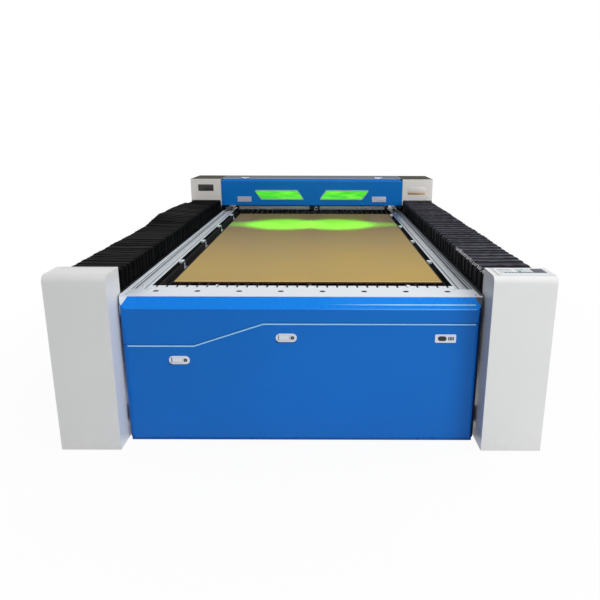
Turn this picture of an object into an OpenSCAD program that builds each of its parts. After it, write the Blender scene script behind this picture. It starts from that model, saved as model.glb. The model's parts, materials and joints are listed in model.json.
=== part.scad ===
// Flatbed laser cutting machine: a welded frame with a slatted bed, four corner
// towers, pleated covers over the side guides, and a gantry that carries the
// laser tube, a hinged lid and the cutting head along the bed.
// Millimetres, +Z up. The origin is on the floor at the centre of the footprint.
// The operator stands at -Y.

/* [Machine] */
// Overall width across the corner towers
machine_w = 2300; // [2260:10:2500]
// Overall length, front tower face to rear tower face
machine_l = 4150; // [3900:10:4800]
// Height of the lower edges of towers and skirts above the floor
skirt_gap = 5; // [4:1:30]
// Thickness of folded sheet parts
sheet_t = 2; // [1.5:0.5:3]
// Running clearance between parts that pass or seat against each other
fit = 0.3; // [0.2:0.05:0.5]

/* [Bed] */
// Height of the bed rim above the floor
rim_z = 736; // [700:2:800]
// Gap between the rim and the inner faces of the towers
rim_gap = 8; // [4:1:14]
// Width of a side rail
rail_w = 101; // [96:1:140]
// Setback of the rim's front edge from the tower face
rim_setback = 135; // [125:5:145]
// Depth of the front and rear flange plates
flange_d = 200; // [170:5:215]
// Thickness of the flange plates
flange_t = 3; // [2:0.5:4]
// Number of round holes along each flange plate
flange_holes = 8; // [4:1:9]
// Distance between neighbouring flange holes
flange_hole_pitch = 202; // [120:2:206]
// Radius of the flange holes
flange_hole_r = 15; // [8:1:20]
// Distance between neighbouring bed slats
slat_pitch = 50; // [35:1:80]
// Thickness of a slat
slat_t = 3; // [2:0.5:5]
// Height of a slat
slat_h = 50; // [36:1:60]
// Distance between neighbouring crossbeams
crossbeam_pitch = 690; // [500:10:710]

/* [Work board] */
// Mean gap between the board and the side rails
board_gap = 69; // [60:1:250]
// Length of the board
board_l = 2620; // [2000:10:2700]
// Thickness of the board
board_t = 9; // [4:0.5:10]
// Sideways offset of the board from the bed centre
board_x = 27; // [-30:1:30]
// Distance of the board's front edge from the tower face
board_y = 397; // [380:1:480]

/* [Towers] */
// Width of a corner tower
tower_w = 286; // [280:1:300]
// Depth of a corner tower
tower_d = 180; // [170:2:200]
// Height of the tower tops above the bed rim
tower_rise = 129; // [119:1:160]
// Radius of the rounded top front edge
tower_nose_r = 34; // [20:1:45]

/* [Front] */
// Setback of the front panel face from the tower face
panel_setback = 106; // [96:2:112]
// Distance from the bed rim down to the bend of the front panel
panel_bend_drop = 56; // [46:2:76]
// Radius of the panel's upright edges
panel_edge_r = 30; // [15:1:36]
// Distance from the bed rim down to the low left end of the door's upper edge
door_low_drop = 235; // [222:1:262]
// Distance from the bed rim down to the right part of the door's upper edge
door_high_drop = 124; // [106:1:136]
// Width of the seam around the door
door_gap = 3; // [2:0.5:5]

/* [Side guides] */
// Distance of a guide rail's centre from the inner tower face
guide_inset = 136; // [126:1:144]
// Width and height of a side beam tube
side_tube = 100; // [80:2:104]
// Width of a guide rail
guide_w = 28; // [20:1:34]
// Height of a guide rail
guide_h = 26; // [22:1:30]
// Radius of the toothed belt pulleys at the sides
pulley_r = 30; // [24:1:31]
// Width of a side belt
belt_w = 25; // [16:1:28]

/* [Bellows] */
// Number of pleats in each cover
bellows_pleats = 50; // [20:1:60]
// Depth of a pleat
bellows_depth = 11; // [6:1:14]
// Gap between the covers and the inner tower face, across the machine
bellows_inset = 7; // [5:1:12]
// Width of a bellows cover
bellows_w = 266; // [258:1:270]
// Height of the top of the covers above the rim
bellows_rise = 106; // [100:1:108]

/* [Gantry] */
// Gap between the parked gantry and the rear towers
park_gap = 283; // [250:1:500]
// Depth of the gantry
beam_d = 460; // [430:2:500]
// Height of the lower edge of the gantry cover above the bed rim
cover_rise = 59; // [54:1:70]
// Height of the gantry cover
beam_h = 248; // [241:1:300]
// Height of the lower edge of the end caps above the bed rim
cap_rise = 108; // [107:1:124]
// Bevel of the lid's upper front edge
lid_bevel = 22; // [12:1:28]
// Depth of the structural tube inside the gantry
beam_tube_d = 160; // [120:2:180]
// Height of the structural tube inside the gantry
beam_tube_h = 140; // [100:2:160]

/* [Windows] */
// Height of the lid windows above the lower edge of the cover
window_rise = 61; // [55:1:75]
// Height of a window
window_h = 76; // [50:1:90]
// Gap between a window and the latch beside it
window_gap = 44; // [30:1:180]
// Sideways lean of the window ends
window_lean = 54; // [0:1:70]
// Distance of the inner lower corners from the centre
window_in = 87; // [60:1:110]

/* [Laser] */
// Outer radius of the glass tube
tube_r = 40; // [25:1:42]
// Gap between the ends of the glass tube and the end walls
tube_gap = 62; // [30:1:200]
// Sideways rest position of the cutting head
head_x = 27; // [-100:1:100]
// Width of the cutting head
head_w = 96; // [70:2:120]
// Gap between the ends of the cross rail and the end walls
x_rail_gap = 158; // [152:1:260]

/* [Exhaust] */
// Outer radius of the exhaust spigots
spigot_r = 75; // [50:1:100]
// Distance between the two spigots
spigot_span = 800; // [400:10:1000]
// Height of the spigot centres
spigot_z = 300; // [260:5:380]

/* [Hidden] */
$fn = 48;

// The widths across the machine, from the outside in
half_w = machine_w / 2;
tower_in = half_w - tower_w;          // inner face of towers and end caps
rim_half = tower_in - rim_gap;
bed_half = rim_half - rail_w;
bed_open_w = 2 * bed_half;
guide_x = tower_in + guide_inset;
tube_in = guide_x - side_tube / 2;    // inner face of a side beam
tube_out = guide_x + side_tube / 2;
leg_w = 80;
belt_x = tube_in - 20 - belt_w;       // inner edge of a side belt

// The heights
tower_h = rim_z + tower_rise;
panel_bend_z = rim_z - panel_bend_drop;
door_low_z = rim_z - door_low_drop;
door_high_z = rim_z - door_high_drop;
cover_z = rim_z + cover_rise;
beam_top = cover_z + beam_h;
cap_z = rim_z + cap_rise;
window_z = cover_z + window_rise;
side_top = rim_z - 6;                 // top of the side beams
side_low = side_top - side_tube;
ledge_h = 40;
ledge_top = rim_z - 106;              // seat of side rails and crossbeams
foot_top = 45;                        // underside of the legs
sill_z = 7;
sill_y = panel_setback + 36;          // sill behind the door's lower edge
sill_d = 30;
strut_x = 500;                        // outer struts between sill and frame
low_tube_z = 60;                      // lower longitudinal and cross tubes
low_tube = 60;
tray_z = low_tube_z + low_tube;

// The bed
board_w = bed_open_w - 2 * board_gap;
slat_top = rim_z - 4;
slat_low = slat_top - slat_h;
slat_count = floor((bed_open_w - 60) / slat_pitch) + 1;
slat_y0 = rim_setback + 80;
slat_y1 = machine_l - rim_setback - flange_d + 5;
crossbeam_t = 40;
crossbeam_y0 = slat_y0 + 10;
crossbeam_count = floor((slat_y1 - crossbeam_y0 - crossbeam_t) / crossbeam_pitch) + 1;
comb_depth = 36;                      // notches along the flange plates
comb_w = 10;
rail_y0 = rim_setback + flange_d - 65;  // side rails start at a corner notch
rail_t = 3;

// Trays under the front of the bed, exhaust plenum under its rear
tray_l = machine_l - 1450;
tray_h = 170;
tray_y = tower_d + 22;
duct_gap = 60;                        // between the trays and the plenum
duct_rear_gap = 150;                  // between the plenum and the drive shaft
spigot_l = 64;                        // length of the hose collars
pipe_r = spigot_r - sheet_t;          // pipes inside the collars

// Stations of the frame along the machine
leg_stations = 5;
leg_y0 = 60;
leg_step = (machine_l - 2 * leg_y0 - leg_w) / (leg_stations - 1);
header_y = rim_setback + 15;          // tubes under the flange plates
header_d = 30;
cross_front_y = tower_d + 20;
cross_y = [for (i = [0:leg_stations - 2]) i == 0 ? cross_front_y : leg_y0 + i * leg_step];
leg_in = guide_x - leg_w / 2;         // inner face of the legs
low_in = guide_x - low_tube / 2;      // inner face of the lower tubes along the sides
cross_top = min(ledge_top, side_low) - fit;
header_low = rim_z - flange_t - 40;   // underside of the flange headers

// The side drive
drive_z = side_top - pulley_r;        // axis height of all side pulleys
idler_y = tower_d / 2 + 20;
drive_y = machine_l - tower_d - 30;
belt_t = 2;
flange_rise = 3;                      // pulley flanges above the belt seat
shaft_r = 12.5;
idler_shaft_r = 10;
running = 0.05;                       // radial clearance of running shafts
drive_tube_top = drive_z - 50;
motor_x = 300;

// The gantry, measured from its own front face
beam_park = machine_l - tower_d - park_gap - beam_d;
carriage_t = 12;
block_top = side_top + guide_h + 19;
carriage_top = block_top + carriage_t;
tube_z = cover_z + 8;                 // underside of the structural tube
tube_y = 220;
pan_t = 3;
pan_z = tube_z - pan_t;
bracket_t = 4;
x_rail_y = 62;
x_rail_s = 30;
x_rail_z = cover_z - 46;
bracket_y = x_rail_y + x_rail_s;
laser_y = 112;
laser_z = cover_z + 110;
cover_half = tower_in - 2;            // half width of lid, covers and pan
lip_y = 40;                           // rear edge of the lid's top lip
seam_y = 262;                         // seam between top cover and rear cover
lid_axis_y = lip_y + 1;
lid_axis_z = beam_top + 7;
cheek_w = 12;                         // visible width of the end caps' cheek strip

// The laser tube and the cross drive
tube_l = 2 * (cover_half - tube_gap);
x_rail_l = 2 * (cover_half - x_rail_gap);
x_pulley_r = 12;
x_pulley_x = x_rail_l / 2 + 31;
x_pulley_y = laser_y + 8;
x_belt_z = x_rail_z + 15;
x_belt_w = 12;
x_belt_t = 1.5;
x_shaft_r = 4;

// The hinged front door
door_axis_y = panel_setback;
door_axis_z = sill_z + 2;
door_low_edge = door_axis_z + 7;
tower_tab_z = [180, 480];             // tabs that hold a tower to its leg
stiffener_z = [150, 330];             // hat stiffeners inside the door
panel_half = tower_in - 9;
panel_top_y = rim_setback;
door_hinge_x = [for (s = [-1, 0, 1]) s * (panel_half - 235)];
seam_low_x = -panel_half + 344;       // where the door's upper edge starts to rise
seam_high_x = -panel_half + 676;      // and where it is level again

// Latches on the door: centre positions across and up
latch_low = [-panel_half + 272, door_low_z - 75];
latch_mid = [-70, door_high_z - 72];
latch_push = [panel_half - 170, door_high_z - 74];
latch_w = 100;
latch_h = 42;
latch_t = 3;
latch_pin_x = -33;                    // upright pin of a flush latch
lid_latch_x = cover_half - 219;
lid_latch_z = cover_z + 58;
lid_latch_w = 132;
lid_latch_h = 50;
window_w = lid_latch_x - lid_latch_w / 2 - window_gap - window_lean - window_in;

// The operator panel on the right front tower
bezel_x = half_w - 257;
bezel_y = 27;
bezel_w = 238;
bezel_d = 138;
bezel_t = 4;
bezel_seat = 6;                       // width of the bezel's rest on the tower top
screen_cut = [98, 66];                // distance from the bezel's left edge, and width
keypad_cut = [172, 58];
cut_y = 44;
cut_d = 84;

// Colours
c_white = [0.88, 0.89, 0.90];
c_blue = [0.07, 0.30, 0.66];
c_steel = [0.62, 0.64, 0.66];
c_dark = [0.12, 0.12, 0.13];
c_silver = [0.78, 0.79, 0.80];
c_frame = [0.42, 0.45, 0.48];

// ---------------------------------------------------------------- helpers

// Draws in a frame whose Y starts at the front tower face
module from_front() { translate([0, -machine_l / 2, 0]) children(); }

// Draws in a frame whose Y starts at the gantry's front face
module on_beam() { translate([0, beam_park - machine_l / 2, 0]) children(); }

// Repeats a shape mirrored to the other side of the machine
module both_sides() {
    children();
    mirror([1, 0, 0]) children();
}

// Repeats a shape drawn at the front, mirrored to the rear
module at_rear() {
    mirror([0, 1, 0]) children();
}

// A box from one corner to the opposite one
module span(low, high) {
    translate(low) cube([high[0] - low[0], high[1] - low[1], high[2] - low[2]]);
}

// A cylinder along X, from x0 to x1, about the point (y, z)
module x_rod(x0, x1, y, z, r) {
    translate([x0, y, z]) rotate([0, 90, 0]) cylinder(h = x1 - x0, r = r);
}

// A cylinder along Y, from y0 to y1, about the point (x, z)
module y_rod(y0, y1, x, z, r) {
    translate([x, y1, z]) rotate([90, 0, 0]) cylinder(h = y1 - y0, r = r);
}

// A cylinder along Z, from z0 to z1, about the point (x, y)
module z_rod(z0, z1, x, y, r) {
    translate([x, y, z0]) cylinder(h = z1 - z0, r = r);
}

// Extrudes an outline drawn in Y and Z along X, from x0 to x1
module along_x(x0, x1) {
    translate([x0, 0, 0]) rotate([90, 0, 90]) linear_extrude(x1 - x0) children();
}

// Extrudes an outline drawn in X and Z along Y, from y0 to y1
module along_y(y0, y1) {
    translate([0, y1, 0]) rotate([90, 0, 0]) linear_extrude(y1 - y0) children();
}

// ------------------------------------------------------------------ frame

// Side beam on its legs. The tubes of the frame meet with a small gap.
module side_frame() {
    difference() {
        span([tube_in, 40, side_low], [tube_out, machine_l - 40, side_top]);
        span([tube_in + 6, 30, side_low + 6], [tube_out - 6, machine_l - 30, side_top - 6]);
    }
    for (i = [0:leg_stations - 1]) {
        y = leg_y0 + i * leg_step;
        span([leg_in, y, foot_top], [guide_x + leg_w / 2, y + leg_w, side_low - fit]);
        if (i < leg_stations - 1)
            span([low_in, y + leg_w + fit, low_tube_z],
                [guide_x + low_tube / 2, y + leg_step - fit, tray_z]);
    }
}

// Ledge that carries the side rail and the crossbeams, cut between the cross tubes
module ledge() {
    starts = [for (y = cross_y) y + low_tube + fit];
    ends = concat([for (i = [1:leg_stations - 2]) cross_y[i] - fit], [drive_y - 35 - fit]);
    pieces = concat([[header_y, cross_front_y - fit]],
        [for (i = [0:leg_stations - 2]) [starts[i], ends[i]]],
        [[drive_y + 18 + fit, machine_l - header_y]]);
    for (piece = pieces)
        span([bed_half - 30, piece[0], ledge_top - ledge_h], [rim_half - 1, piece[1], ledge_top]);
    for (y = [header_y, machine_l - header_y - header_d])
        span([rim_half - 66, y, ledge_top - 5], [rim_half - 6, y + header_d, header_low - fit]);
}

// Bracket on the side beam with two ears for a front pulley's stub shaft
module idler_ears() {
    difference() {
        union() {
            for (x = [belt_x - 12, belt_x + belt_w + 6])
                span([x, idler_y - 25, side_low + 10], [x + 6, idler_y + 25, drive_z + 22]);
            span([belt_x - 12, idler_y - 25, side_low + 2],
                [tube_in - fit, idler_y + 25, side_low + 14]);
        }
        x_rod(belt_x - 20, belt_x + belt_w + 14, idler_y, drive_z, idler_shaft_r + running);
    }
}

module base_frame() color(c_frame) from_front() {
    both_sides() {
        side_frame();
        ledge();
        idler_ears();
    }
    // Upper and lower cross tubes, kept clear of the drop-down door
    for (i = [0:leg_stations - 2]) {
        y = cross_y[i];
        x_up = i == 0 ? guide_x : leg_in - fit;
        x_low = i == 0 ? low_in - fit : leg_in - fit;
        span([-x_up, y, ledge_top - ledge_h], [x_up, y + low_tube, cross_top]);
        span([-x_low, y, low_tube_z], [x_low, y + low_tube, tray_z]);
    }
    // Rear cross tubes: the upper one carries the drive shaft
    span([-tube_in + fit, drive_y - 35, ledge_top - ledge_h],
        [tube_in - fit, drive_y + 18, drive_tube_top]);
    span([-low_in + fit, drive_y - 35, low_tube_z], [low_in - fit, drive_y + 25, tray_z]);
    for (y = [header_y, machine_l - header_y - header_d])
        span([-rim_half + 6, y, header_low], [rim_half - 6, y + header_d, rim_z - flange_t]);
    // Sill that carries the door hinges, with struts to the first cross tube
    span([-panel_half + 8, sill_y, sill_z], [panel_half - 8, sill_y + sill_d, sill_z + 40]);
    for (x = [-strut_x, 0, strut_x])
        span([x - 20, sill_y + sill_d + fit, sill_z + 10],
            [x + 20, cross_front_y - fit, low_tube_z + 20]);
}

module levelling_feet() color(c_dark) from_front() both_sides()
    for (i = [0:leg_stations - 1])
        translate([guide_x, leg_y0 + leg_w / 2 + i * leg_step, 0]) {
            rotate_extrude() polygon([[0, 0], [42, 0], [42, 5], [22, 12], [0, 12]]);
            translate([0, 0, 11]) cylinder(h = foot_top - 11, r = 9);
            translate([0, 0, 22]) cylinder(h = 12, r = 17, $fn = 6);
        }

// ----------------------------------------------------------- bed and rims

// Flange plate with a comb edge towards the bed and a row of round holes
module flange_plate() {
    y1 = rim_setback + flange_d;
    difference() {
        union() {
            span([-rim_half, rim_setback, rim_z - flange_t], [rim_half, rail_y0 - fit, rim_z]);
            span([-bed_half + fit, rail_y0 - 1, rim_z - flange_t], [bed_half - fit, y1, rim_z]);
        }
        for (i = [0:slat_count - 1])
            translate([(i - (slat_count - 1) / 2) * slat_pitch, y1, rim_z]) {
                span([-comb_w / 2, -comb_depth + comb_w / 2, -10], [comb_w / 2, 5, 10]);
                z_rod(-10, 10, 0, -comb_depth + comb_w / 2, comb_w / 2);
            }
        for (i = [0:flange_holes - 1])
            z_rod(rim_z - 20, rim_z + 20, (i - (flange_holes - 1) / 2) * flange_hole_pitch,
                rim_setback + 91, flange_hole_r);
    }
}

module front_flange() color(c_white) from_front() flange_plate();

module rear_flange() color(c_white) at_rear() from_front() flange_plate();

// Cross-section of a side rail: a folded channel with lengthwise grooves
module rail_outline() {
    w = rim_half - bed_half;
    h = rim_z - ledge_top;
    groove_h = 5;
    difference() {
        square([w, h]);
        // Open below, under a top that is thick enough for the grooves
        translate([rail_t, -1]) square([w - 2 * rail_t, h - groove_h - rail_t + 1]);
        // Each groove: distance from the inner edge, and width
        for (g = [[16, 5], [58, 12], [80, 5]])
            translate([g[0], h - groove_h]) square([g[1], 2 * groove_h]);
    }
}

module side_rail() from_front()
    translate([bed_half, 0, ledge_top])
        along_y(rail_y0, machine_l - rail_y0) rail_outline();

module side_rail_left() color(c_white) mirror([1, 0, 0]) side_rail();

module side_rail_right() color(c_silver) side_rail();

module bed_slats() color(c_dark) from_front()
    for (i = [0:slat_count - 1]) {
        x = (i - (slat_count - 1) / 2) * slat_pitch;
        span([x - slat_t / 2, slat_y0, slat_low], [x + slat_t / 2, slat_y1, slat_top]);
    }

// Square tubes across the bed with a slotted comb strip on top
module slat_crossbeams() color(c_white) from_front()
    for (k = [0:crossbeam_count - 1])
        translate([0, crossbeam_y0 + k * crossbeam_pitch, 0]) difference() {
            union() {
                span([-bed_half + 3, 0, ledge_top], [bed_half - 3, crossbeam_t, slat_low]);
                span([-bed_half + 3, 16, slat_low - 1], [bed_half - 3, 20, slat_low + 22]);
                both_sides()
                    span([bed_half - 33, 6, slat_low - 1],
                        [bed_half - 13, crossbeam_t - 6, rim_z - flange_t - 6]);
            }
            for (i = [0:slat_count - 1])
                translate([(i - (slat_count - 1) / 2) * slat_pitch, 0, slat_low])
                    span([-slat_t / 2 - fit, -5, 0], [slat_t / 2 + fit, crossbeam_t + 5, 70]);
        }

module bed_board() color([0.68, 0.55, 0.34]) from_front()
    translate([board_x - board_w / 2, board_y, slat_top]) cube([board_w, board_l, board_t]);

module scrap_trays() color(c_steel) from_front() both_sides()
    translate([8, tray_y, tray_z]) {
        w = bed_half - 26;
        difference() {
            cube([w, tray_l, tray_h]);
            translate([sheet_t, sheet_t, sheet_t])
                cube([w - 2 * sheet_t, tray_l - 2 * sheet_t, tray_h]);
            // Hand hole in the front wall
            translate([w / 2 - 60, -1, tray_h - 60]) cube([120, sheet_t + 2, 30]);
        }
        translate([0, -12, tray_h - sheet_t]) cube([w, 13, sheet_t]);
    }

// Plenum under the rear of the bed with two round spigots to the rear
module exhaust_duct() color(c_steel) from_front() {
    y0 = tray_y + tray_l + duct_gap;
    y1 = drive_y - duct_rear_gap;
    y2 = machine_l - panel_setback + 2;
    z1 = ledge_top - ledge_h - 25;
    w = bed_half - 40;
    difference() {
        union() {
            span([-w, y0, tray_z], [w, y1, z1]);
            both_sides() y_rod(y1 - 1, y2 + 1, spigot_span / 2, spigot_z, pipe_r);
            // Hose collars outside the rear panel
            both_sides() y_rod(y2, y2 + spigot_l, spigot_span / 2, spigot_z, spigot_r);
        }
        span([-w + sheet_t, y0 + sheet_t, tray_z + sheet_t],
            [w - sheet_t, y1 - sheet_t, z1 + 5]);
        both_sides()
            y_rod(y1 - 10, y2 + spigot_l + 10, spigot_span / 2, spigot_z, pipe_r - sheet_t);
    }
}

// ----------------------------------------------------------------- towers

// Side outline of a tower, drawn in Y and Z, drawn in by an inset
module tower_outline(inset) {
    r = tower_nose_r - inset;
    z1 = tower_h - inset;
    y1 = tower_d - inset;
    union() {
        translate([inset, skirt_gap]) square([y1 - inset, z1 - r - skirt_gap]);
        translate([inset + r, skirt_gap]) square([y1 - inset - r, z1 - skirt_gap]);
        translate([inset + r, z1 - r]) circle(r = r);
    }
}

// A folded tower cover: front, sides and top, with a collar for the bellows
// at the back and tabs that hold it to the leg inside
module tower_cover(recess) {
    difference() {
        along_x(tower_in, half_w) tower_outline(0);
        along_x(tower_in + sheet_t, half_w - sheet_t)
            intersection() {
                tower_outline(sheet_t);
                square([tower_d, tower_h - sheet_t - recess]);
            }
        // Open below, and open to the side guides at the back
        span([tower_in + sheet_t, sheet_t + 1, 0],
            [half_w - sheet_t, tower_d - sheet_t - 1, skirt_gap + 2]);
        span([tower_in + sheet_t, tower_d - 10, 0],
            [half_w - sheet_t, tower_d + 5, rim_z + 2]);
        span([tower_in + 22, tower_d - 10, rim_z - 20],
            [half_w - 32, tower_d + 5, rim_z + bellows_rise - 18]);
        if (recess > 0)
            span([tower_in + 16, tower_nose_r - 8, tower_h - recess],
                [half_w - 14, tower_d - 8, tower_h + 1]);
    }
    for (z = tower_tab_z)
        span([guide_x + leg_w / 2 + fit, leg_y0 + 10, z], [half_w - 1, leg_y0 + 13, z + 60]);
}

module tower_front_left() color(c_white) from_front() mirror([1, 0, 0]) tower_cover(2);

// The right tower's top has an opening under the operator panel
module tower_front_right() color(c_white) from_front()
    difference() {
        tower_cover(2);
        span([bezel_x + bezel_seat, bezel_y + bezel_seat, tower_h - 12],
            [bezel_x + bezel_w - bezel_seat, bezel_y + bezel_d - bezel_seat, tower_h + 5]);
    }

module rear_towers() color(c_white) at_rear() from_front() both_sides() tower_cover(2);

// Bezel of the operator panel, seated in the recess of the tower top
module panel_bezel() color([0.80, 0.81, 0.82]) from_front()
    translate([bezel_x, bezel_y, tower_h - 2]) difference() {
        cube([bezel_w, bezel_d, bezel_t]);
        for (w = [screen_cut, keypad_cut])
            translate([w[0], cut_y, -1]) cube([w[1], cut_d, bezel_t + 2]);
    }

module lcd_screen() color([0.62, 0.78, 0.80]) from_front()
    translate([bezel_x + screen_cut[0] + fit, bezel_y + cut_y + fit, tower_h - 8])
        cube([screen_cut[1] - 2 * fit, cut_d - 2 * fit, 9]);

module keypad() color([0.22, 0.25, 0.30]) from_front()
    translate([bezel_x + keypad_cut[0] + fit, bezel_y + cut_y + fit, tower_h - 5]) {
        cube([keypad_cut[1] - 2 * fit, cut_d - 2 * fit, 6]);
        for (i = [0:3], j = [0:4])
            translate([5 + i * 12.6, 5 + j * 15.6, 5]) cube([9.6, 11, 2]);
    }

// ----------------------------------------------------------- body panels

// The closed front form: upright, with rounded upright edges and a bent-back top
module front_form(inset) {
    x = panel_half - inset;
    y0 = panel_setback + inset;
    r = panel_edge_r - inset;
    y1 = panel_setback + 42;
    top = rim_z - flange_t;
    intersection() {
        linear_extrude(top) union() {
            translate([-x + r, y0]) square([2 * (x - r), y1 - y0]);
            translate([-x, y0 + r]) square([2 * x, y1 - y0 - r]);
            for (s = [-1, 1]) translate([s * (x - r), y0 + r]) circle(r = r);
        }
        along_x(-x - 1, x + 1)
            polygon([[y0, 0], [y0, panel_bend_z], [panel_top_y + inset, top + 1],
                [y1 + 50, top + 1], [y1 + 50, 0]]);
    }
}

module front_sheet() difference() {
    front_form(0);
    front_form(sheet_t);
    span([-panel_half + sheet_t, panel_setback + panel_edge_r, -1],
        [panel_half - sheet_t, panel_setback + 100, panel_bend_z + 200]);
}

// Region below the stepped seam between door and upper panel, moved up by a lift
module below_seam(lift) {
    z0 = door_low_z + lift;
    z1 = door_high_z + lift;
    along_y(panel_setback - 20, panel_setback + 80)
        polygon([[-half_w, -1], [-half_w, z0], [seam_low_x, z0], [seam_high_x, z1],
            [half_w, z1], [half_w, -1]]);
}

module front_panel() color(c_blue) from_front() {
    difference() {
        front_sheet();
        below_seam(door_gap / 2);
    }
    // Return flange behind the seam
    difference() {
        intersection() {
            span([-panel_half + 3, panel_setback + 1, 0],
                [panel_half - 3, panel_setback + 22, rim_z]);
            below_seam(door_gap / 2 + sheet_t);
        }
        below_seam(door_gap / 2);
        span([-half_w, panel_setback - 1, 0], [-panel_half + panel_edge_r, panel_setback + 30, rim_z]);
        span([panel_half - panel_edge_r, panel_setback - 1, 0], [half_w, panel_setback + 30, rim_z]);
    }
}

module front_door() color(c_blue) from_front() difference() {
    union() {
        difference() {
            intersection() {
                front_sheet();
                below_seam(-door_gap / 2);
            }
            span([-half_w, 0, 0], [half_w, panel_setback + 60, door_low_edge]);
        }
        // Folded upper edge
        difference() {
            intersection() {
                span([-panel_half + panel_edge_r, panel_setback + 1, 0],
                    [panel_half - panel_edge_r, panel_setback + 22, rim_z]);
                below_seam(-door_gap / 2);
            }
            below_seam(-door_gap / 2 - sheet_t);
        }
        // Hat stiffeners on the inside
        for (z = stiffener_z)
            difference() {
                span([-panel_half + 60, panel_setback + 1, z],
                    [panel_half - 60, panel_setback + 30, z + 60]);
                span([-panel_half + 50, panel_setback, z + sheet_t],
                    [panel_half - 50, panel_setback + 30 - sheet_t, z + 60 - sheet_t]);
            }
    }
    for (c = [latch_low, latch_mid, latch_push])
        span([c[0] - 42, 0, c[1] - 16], [c[0] + 42, panel_setback + 24, c[1] + 16]);
}

// Skirts along both sides, held to the side beams by their top flange
module side_panels() color(c_white) from_front() both_sides() {
    x1 = half_w - 2;
    y0 = tower_d + 3;
    y1 = machine_l - tower_d - 3;
    span([x1 - sheet_t, y0, skirt_gap + 2], [x1, y1, side_top]);
    span([tube_out + fit, y0, side_top - sheet_t], [x1, y1, side_top]);
    span([x1 - 30, y0, skirt_gap + 2], [x1, y1, skirt_gap + 2 + sheet_t]);
    // Upright folds that stiffen the sheet
    for (i = [1:leg_stations - 2])
        span([x1 - 20, leg_y0 + i * leg_step, skirt_gap + 3],
            [x1 - sheet_t + 1, leg_y0 + i * leg_step + 20, side_top - 1]);
}

module rear_panel() color(c_white) from_front() {
    y1 = machine_l - panel_setback;
    difference() {
        union() {
            span([-panel_half, y1 - sheet_t, skirt_gap + 2], [panel_half, y1, rim_z - flange_t]);
            span([-panel_half, y1 - 30, rim_z - flange_t - sheet_t],
                [panel_half, y1, rim_z - flange_t]);
            for (s = [-1, 1])
                span([s * panel_half - 1, y1 - 30, skirt_gap + 2],
                    [s * panel_half + 1, y1, rim_z - flange_t]);
        }
        both_sides()
            y_rod(y1 - 10, y1 + 10, spigot_span / 2, spigot_z, pipe_r + fit);
        // Louvre slots above the spigots
        both_sides() for (i = [0:9])
            translate([spigot_span / 2, y1, spigot_z + spigot_r + 85 + i * 14])
                span([-150, -10, 0], [150, 10, 5]);
    }
}

// ----------------------------------------------------- side guides, drive

// Rail section with waisted flanks, drawn upwards from its seat, grown by a gap
module guide_outline(grow) {
    w = guide_w / 2 + grow;
    n = w - 4;
    h = guide_h + grow;
    k = grow * 0.4;                   // keeps the gap even on the slanted flanks
    polygon([[-w, -grow], [-w, 9 + k], [-n, 13 + k], [-n, 15 - k], [-w, 19 - k], [-w, h],
        [w, h], [w, 19 - k], [n, 15 - k], [n, 13 + k], [w, 9 + k], [w, -grow]]);
}

module guide_rails() color(c_silver) from_front()
    for (s = [-1, 1])
        translate([s * guide_x, 0, side_top])
            along_y(tower_d + 10, machine_l - tower_d - 10) guide_outline(0);

module belt_loop(y0, y1, r, t) difference() {
    union() {
        for (y = [y0, y1]) x_rod(0, belt_w, y, 0, r + t);
        span([0, y0, -r - t], [belt_w, y1, r + t]);
    }
    union() {
        for (y = [y0, y1]) x_rod(-1, belt_w + 1, y, 0, r);
        span([-1, y0, -r], [belt_w + 1, y1, r]);
    }
}

module y_belts() color(c_dark) from_front() both_sides()
    translate([belt_x, 0, drive_z])
        belt_loop(idler_y, drive_y, pulley_r + fit, belt_t);

// A flanged belt pulley centred on the belt, with shallow grooves for the teeth
module side_pulley(y) {
    difference() {
        x_rod(belt_x - 1, belt_x + belt_w + 1, y, drive_z, pulley_r);
        for (a = [0:15:345])
            translate([0, y, drive_z]) rotate([a, 0, 0])
                x_rod(belt_x - 2, belt_x + belt_w + 2, 0, pulley_r + 0.5, 1.6, $fn = 24);
    }
    for (x = [belt_x - 4, belt_x + belt_w + 1])
        x_rod(x, x + 3, y, drive_z, pulley_r + flange_rise);
}

module y_drive_shaft() color(c_steel) from_front() {
    x_rod(-belt_x - belt_w - 5, belt_x + belt_w + 5, drive_y, drive_z, shaft_r);
    both_sides() side_pulley(drive_y);
}

module y_idlers() color(c_steel) from_front() both_sides() {
    side_pulley(idler_y);
    x_rod(belt_x - 14, belt_x + belt_w + 14, idler_y, drive_z, idler_shaft_r);
}

module shaft_bearings() color(c_frame) from_front() both_sides() difference() {
    union() {
        x_rod(belt_x - 36, belt_x - 8, drive_y, drive_z, 26);
        span([belt_x - 36, drive_y - 30, drive_tube_top],
            [belt_x - 8, drive_y + 15, drive_z - 8]);
    }
    x_rod(belt_x - 40, belt_x, drive_y, drive_z, shaft_r + running);
    span([belt_x - 40, drive_y - 40, drive_tube_top - 40],
        [belt_x, drive_y + 40, drive_tube_top]);
}

// Worm gearbox on the drive shaft, with its motor lying towards the bed
module y_motor() color(c_dark) from_front() difference() {
    union() {
        span([motor_x - 40, drive_y - 35, drive_tube_top], [motor_x + 40, drive_y + 18, drive_z + 29]);
        span([motor_x - 28, drive_y - 110, drive_z - 30], [motor_x + 28, drive_y - 34, drive_z + 26]);
        y_rod(drive_y - 114, drive_y - 109, motor_x, drive_z - 2, 20);
    }
    x_rod(motor_x - 50, motor_x + 50, drive_y, drive_z, shaft_r + running);
}

// ---------------------------------------------------------------- bellows

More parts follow.
